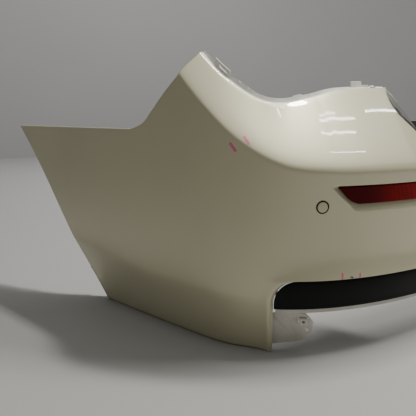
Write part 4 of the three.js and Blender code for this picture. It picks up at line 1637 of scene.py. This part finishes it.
class TowCover:
    """The pull-out cover over the towing eye, with its legs and the frame behind."""

    def __init__(self, surface: Surface, sizes: TowSizes) -> None:
        """Prepares the cover."""
        self.surface = surface
        self.sizes = sizes

    def _level(self, grow: float, inside: float) -> Place:
        """Places of one layer with the rounded outline."""
        sizes = self.sizes

        def place(u: Array, v: Array) -> Array:
            x, y = 2 * u - 1, 2 * v - 1
            drawn = 1 - sizes.squareness * x * x * y * y
            girth = sizes.girth + x * (sizes.width / 2 + grow) * drawn
            z = sizes.z + y * (sizes.height / 2 + grow) * drawn
            return self.surface.point(girth, z, inside)

        return place

    def cut_into(self, skin: Piece) -> None:
        """Cuts the cover's hole with rounded rims."""
        gap, rim = self.sizes.gap, self.sizes.rim
        levels = [(gap + rim, -0.006), (gap + rim, 0), (gap + rim * 0.3, rim * 0.3)]
        levels += [(gap, rim), (gap, 0.012)]
        cutter = mapped_solid("cutter", 20, 20, [self._level(*level) for level in levels])
        lend_slots(cutter, skin, PAINT_INDEX)
        carve(skin, cutter)

    def cap(self) -> Piece:
        """The cover with a rounded edge and three softened legs."""
        rim = self.sizes.rim
        levels = [(-rim, 0), (-rim * 0.3, rim * 0.3), (0, rim), (0, self.surface.shape.wall)]
        cap = mapped_solid("tow_eye_cover_cap", 20, 20, [self._level(*level) for level in levels])
        seat = self.surface.seat(self.sizes.girth, self.sizes.z)
        for x, y in ((-0.022, 0), (0.022, 0), (0, 0.019)):
            leg = block("leg", (0.008, 0.008, 0.0135), seat, (x, y, -0.00925))
            soften(leg, 0.0008)
            carve(cap, leg, "UNION")
        shade(cap)
        return cap

    def dress(self, finishes: "Finishes") -> None:
        """Builds and seats the cap and the frame behind it."""
        rear = copy_of_node("tow_cover_frame", "tow_cover_frame_ring")
        soften(rear, 0.0005)
        shade(rear)
        put(self.cap(), finishes.plain_paint, ["tow_eye_cover"], TOW_CAP)
        put(rear, finishes.black, ["tow_cover_frame"])


# ---- Stage ---------------------------------------------------------------------------


def area_light(name: str, place: Sequence[float], size: Pair, power: float) -> Piece:
    """A rectangular area light at a place."""
    data = bpy.data.lights.new(name, "AREA")
    data.shape = "RECTANGLE"
    data.size, data.size_y = size
    data.energy = power
    lamp = bpy.data.objects.new(name, data)
    lamp.location = place
    bpy.context.scene.collection.objects.link(lamp)
    return lamp


@dataclass(frozen=True)
class Lamp:
    """A soft area light that looks at a target."""

    name: str
    place: tuple[float, float, float]
    target: tuple[float, float, float]
    size: tuple[float, float]
    power: float
    colour: Colour = (1.0, 1.0, 1.0)
    in_reflections: bool = True

    def build(self) -> None:
        """Adds the light."""
        lamp = area_light(self.name, self.place, self.size, self.power)
        lamp.data.color = self.colour
        look = Vector(self.target) - Vector(self.place)
        lamp.rotation_euler = look.to_track_quat("-Z", "Y").to_euler()
        lamp.visible_glossy = self.in_reflections


@dataclass(frozen=True)
class Tube:
    """A row of thin ceiling tubes through plan positions, which shine straight down."""

    name: str
    path: tuple[tuple[float, float], ...]
    power: float = 1.8
    width: float = 0.02
    height: float = 2.6

    def build(self) -> None:
        """Adds one light for each stretch of the path, with its power given per metre."""
        points = [Vector((*place, self.height)) for place in self.path]
        for a, b in zip(points, points[1:]):
            length = (b - a).length
            size = (length, self.width)
            lamp = area_light(self.name, (a + b) / 2, size, self.power * length)
            lamp.rotation_euler = (0, 0, math.atan2(b.y - a.y, b.x - a.x))


@dataclass(frozen=True)
class Stage:
    """Camera, floor, backdrop and lights."""

    eye: tuple[float, float, float] = (-1.568, -0.87454, 0.436)
    azimuth: float = -44.4
    pitch: float = 10.0
    lens: float = 46.125
    wall: Colour = (0.34, 0.335, 0.33)
    floor: Colour = (0.42, 0.415, 0.405)
    sky: float = 0.012
    lamps: tuple[Lamp, ...] = (
        Lamp("key", (0.15, -0.46, 2.9), (-0.4, -0.5, 0.0), (0.6, 0.2), 50, WARM),
        Lamp("fill", (0.7, -1.35, 2.9), (-0.3, -0.6, 0.0), (0.8, 0.4), 60, WARM, False),
        Lamp("ceiling", (0.2, -0.8, 3.6), (0.2, -0.8, 0.0), (6.0, 4.0), 62, WARM),
        Lamp("backdrop_wash", (0.6, 1.6, 2.9), (2.4, 3.4, 0.9), (2.0, 0.8), 70),
    )
    tubes: tuple[Tube, ...] = (
        Tube("tube_a", ((0.20, -0.91), (0.58, -0.989), (0.908, -1.018))),
        Tube("tube_b", ((0.12, -0.995), (0.39, -1.077), (0.77, -1.136))),
        Tube("tube_c", ((0.10, -1.238), (0.374, -1.33), (0.758, -1.401))),
        Tube("tube_d", ((1.25, -0.968), (2.12, -0.934))),
        Tube("tube_e", ((0.255, -0.877), (0.485, -0.925)), 1.0),
    )

    def build(self) -> None:
        """Puts up the stage."""
        azimuth, pitch = math.radians(self.azimuth), math.radians(self.pitch)
        level = math.cos(pitch)
        back = Vector((math.sin(azimuth) * level, -math.cos(azimuth) * level, math.sin(pitch)))
        data = bpy.data.cameras.new("camera")
        data.sensor_width = 36
        data.lens = self.lens
        camera = bpy.data.objects.new("camera", data)
        camera.location = self.eye
        camera.rotation_euler = (-back).to_track_quat("-Z", "Y").to_euler()
        bpy.context.scene.collection.objects.link(camera)
        bpy.context.scene.camera = camera
        self._floor()
        for lamp in (*self.lamps, *self.tubes):
            lamp.build()
        world = bpy.data.worlds.new("studio")
        world.use_nodes = True
        background = world.node_tree.nodes["Background"]
        background.inputs["Color"].default_value = (1.0, 0.985, 0.95, 1)
        background.inputs["Strength"].default_value = self.sky
        bpy.context.scene.world = world

    def _floor(self) -> None:
        """A flat floor with a round wall standing all round it."""
        deselect()
        bpy.ops.mesh.primitive_plane_add(size=9, location=(0, 0, -0.0008))
        floor = bpy.context.object
        floor.name = "studio_floor"
        material, bench, shader, where = new_material("studio_floor")
        speckle = bench.noise(where, 40.0, 4.0)
        darker = tuple(c * 0.96 for c in self.floor)
        bench.feed(shader.inputs["Base Color"], bench.blend(speckle, darker, self.floor))
        shader.inputs["Roughness"].default_value = 0.7
        floor.data.materials.append(material)
        deselect()
        bpy.ops.mesh.primitive_cylinder_add(
            vertices=96, radius=4.4, depth=6, end_fill_type="NOTHING", location=(0, 0, 2.9)
        )
        wall = bpy.context.object
        wall.name = "studio_wall"
        material, bench, shader, where = new_material("studio_wall")
        darker = tuple(c * 0.9 for c in self.wall)
        mottled = bench.blend(bench.noise(where, 0.7, 2.0), darker, self.wall)
        bench.feed(shader.inputs["Base Color"], mottled)
        shader.inputs["Roughness"].default_value = 0.8
        wall.data.materials.append(material)
        shade(wall)


# ---- Assembly ------------------------------------------------------------------------


@dataclass
class Finishes:
    """Every material of the object, built once."""

    paint: Material
    plain_paint: Material
    bare: Material
    flange: Material
    red: Material
    black: Material
    trim: Material
    rubber: Material
    natural: Material
    steel: Material

    @classmethod
    def make(cls, surface: Surface) -> "Finishes":
        """Builds the finishes."""
        effects = SharedEffects()
        strokes = (
            Stroke((-0.9585, 0.397), (-0.949, 0.386), 0.0034),
            Stroke((-0.9815, 0.3855), (-0.9725, 0.374), 0.0034),
            Stroke((-0.773, 0.1555), (-0.775, 0.1475), 0.0026),
            Stroke((-0.737, 0.1525), (-0.7395, 0.147), 0.0026),
        )
        chips = (Stroke((-0.7575, 0.1488), (-0.7545, 0.1482), 0.0022),)
        return cls(
            paint=BodyPaint().make(effects, surface, strokes, chips),
            plain_paint=BodyPaint("body_paint_parts").make(effects, surface),
            bare=Plastic("bare_plastic", (0.10, 0.10, 0.096), 0.6, dust=0.25).make(effects),
            flange=Plastic(
                "flange_overspray", (0.88, 0.86, 0.78), 0.45, relief=0.02, dust=0.05
            ).make(effects),
            red=ReflectorPlastic().make(),
            black=Plastic("black_plastic", (0.012, 0.012, 0.013), 0.45, dust=0.3).make(effects),
            trim=Plastic(
                "trim_black", (0.004, 0.0045, 0.0045), 0.42, grain=1500.0, relief=0.15,
                dust=0.02, specular=0.15,
            ).make(effects),
            rubber=Plastic(
                "ring_rubber", (0.006, 0.006, 0.006), 0.7, dust=0.05, specular=0.25
            ).make(effects),
            natural=Plastic(
                "natural_plastic", (0.74, 0.72, 0.64), 0.5, dust=0.1,
                dust_colour=(0.4, 0.38, 0.33),
            ).make(effects),
            steel=Plastic(
                "spring_steel", (0.45, 0.45, 0.44), 0.32, grain=600.0, metallic=1.0, dust=0.1
            ).make(effects),
        )


def main() -> None:
    """Builds every piece, seats it on its body and puts up the stage."""
    logging.basicConfig(level=logging.INFO, format="%(name)s: %(message)s")
    shape = SkinShape()
    surface = Surface(shape, REAR_Y)
    finishes = Finishes.make(surface)

    skin_maker = Skin(surface, SkinBuild())
    skin = skin_maker.build(finishes.paint, finishes.bare, finishes.flange)
    OpenMiddle(surface, OpeningSizes()).cut_into(skin)
    for side in Side:
        LampFlangeTabs(surface, side).join_to(skin)
    reflectors = [Reflector(surface, side, ReflectorSizes()) for side in Side]
    sensors = [
        ParkingSensor(surface, place, girth, SensorSizes()) for place, girth in SENSOR_GIRTHS.items()
    ]
    tow = TowCover(surface, TowSizes())
    for part in (*reflectors, *sensors, tow):
        part.cut_into(skin)
    shade(skin, 32)
    put(skin, finishes.paint, ["bumper_skin"])

    brackets = [EndBracket(side) for side in Side]
    nuts = [ArchNuts(side) for side in Side]
    for part in (*reflectors, *sensors, LowerTrim(surface, TrimSizes()), *brackets, *nuts, tow):
        part.dress(finishes)
    Stage().build()


if __name__ == "__main__":
    main()
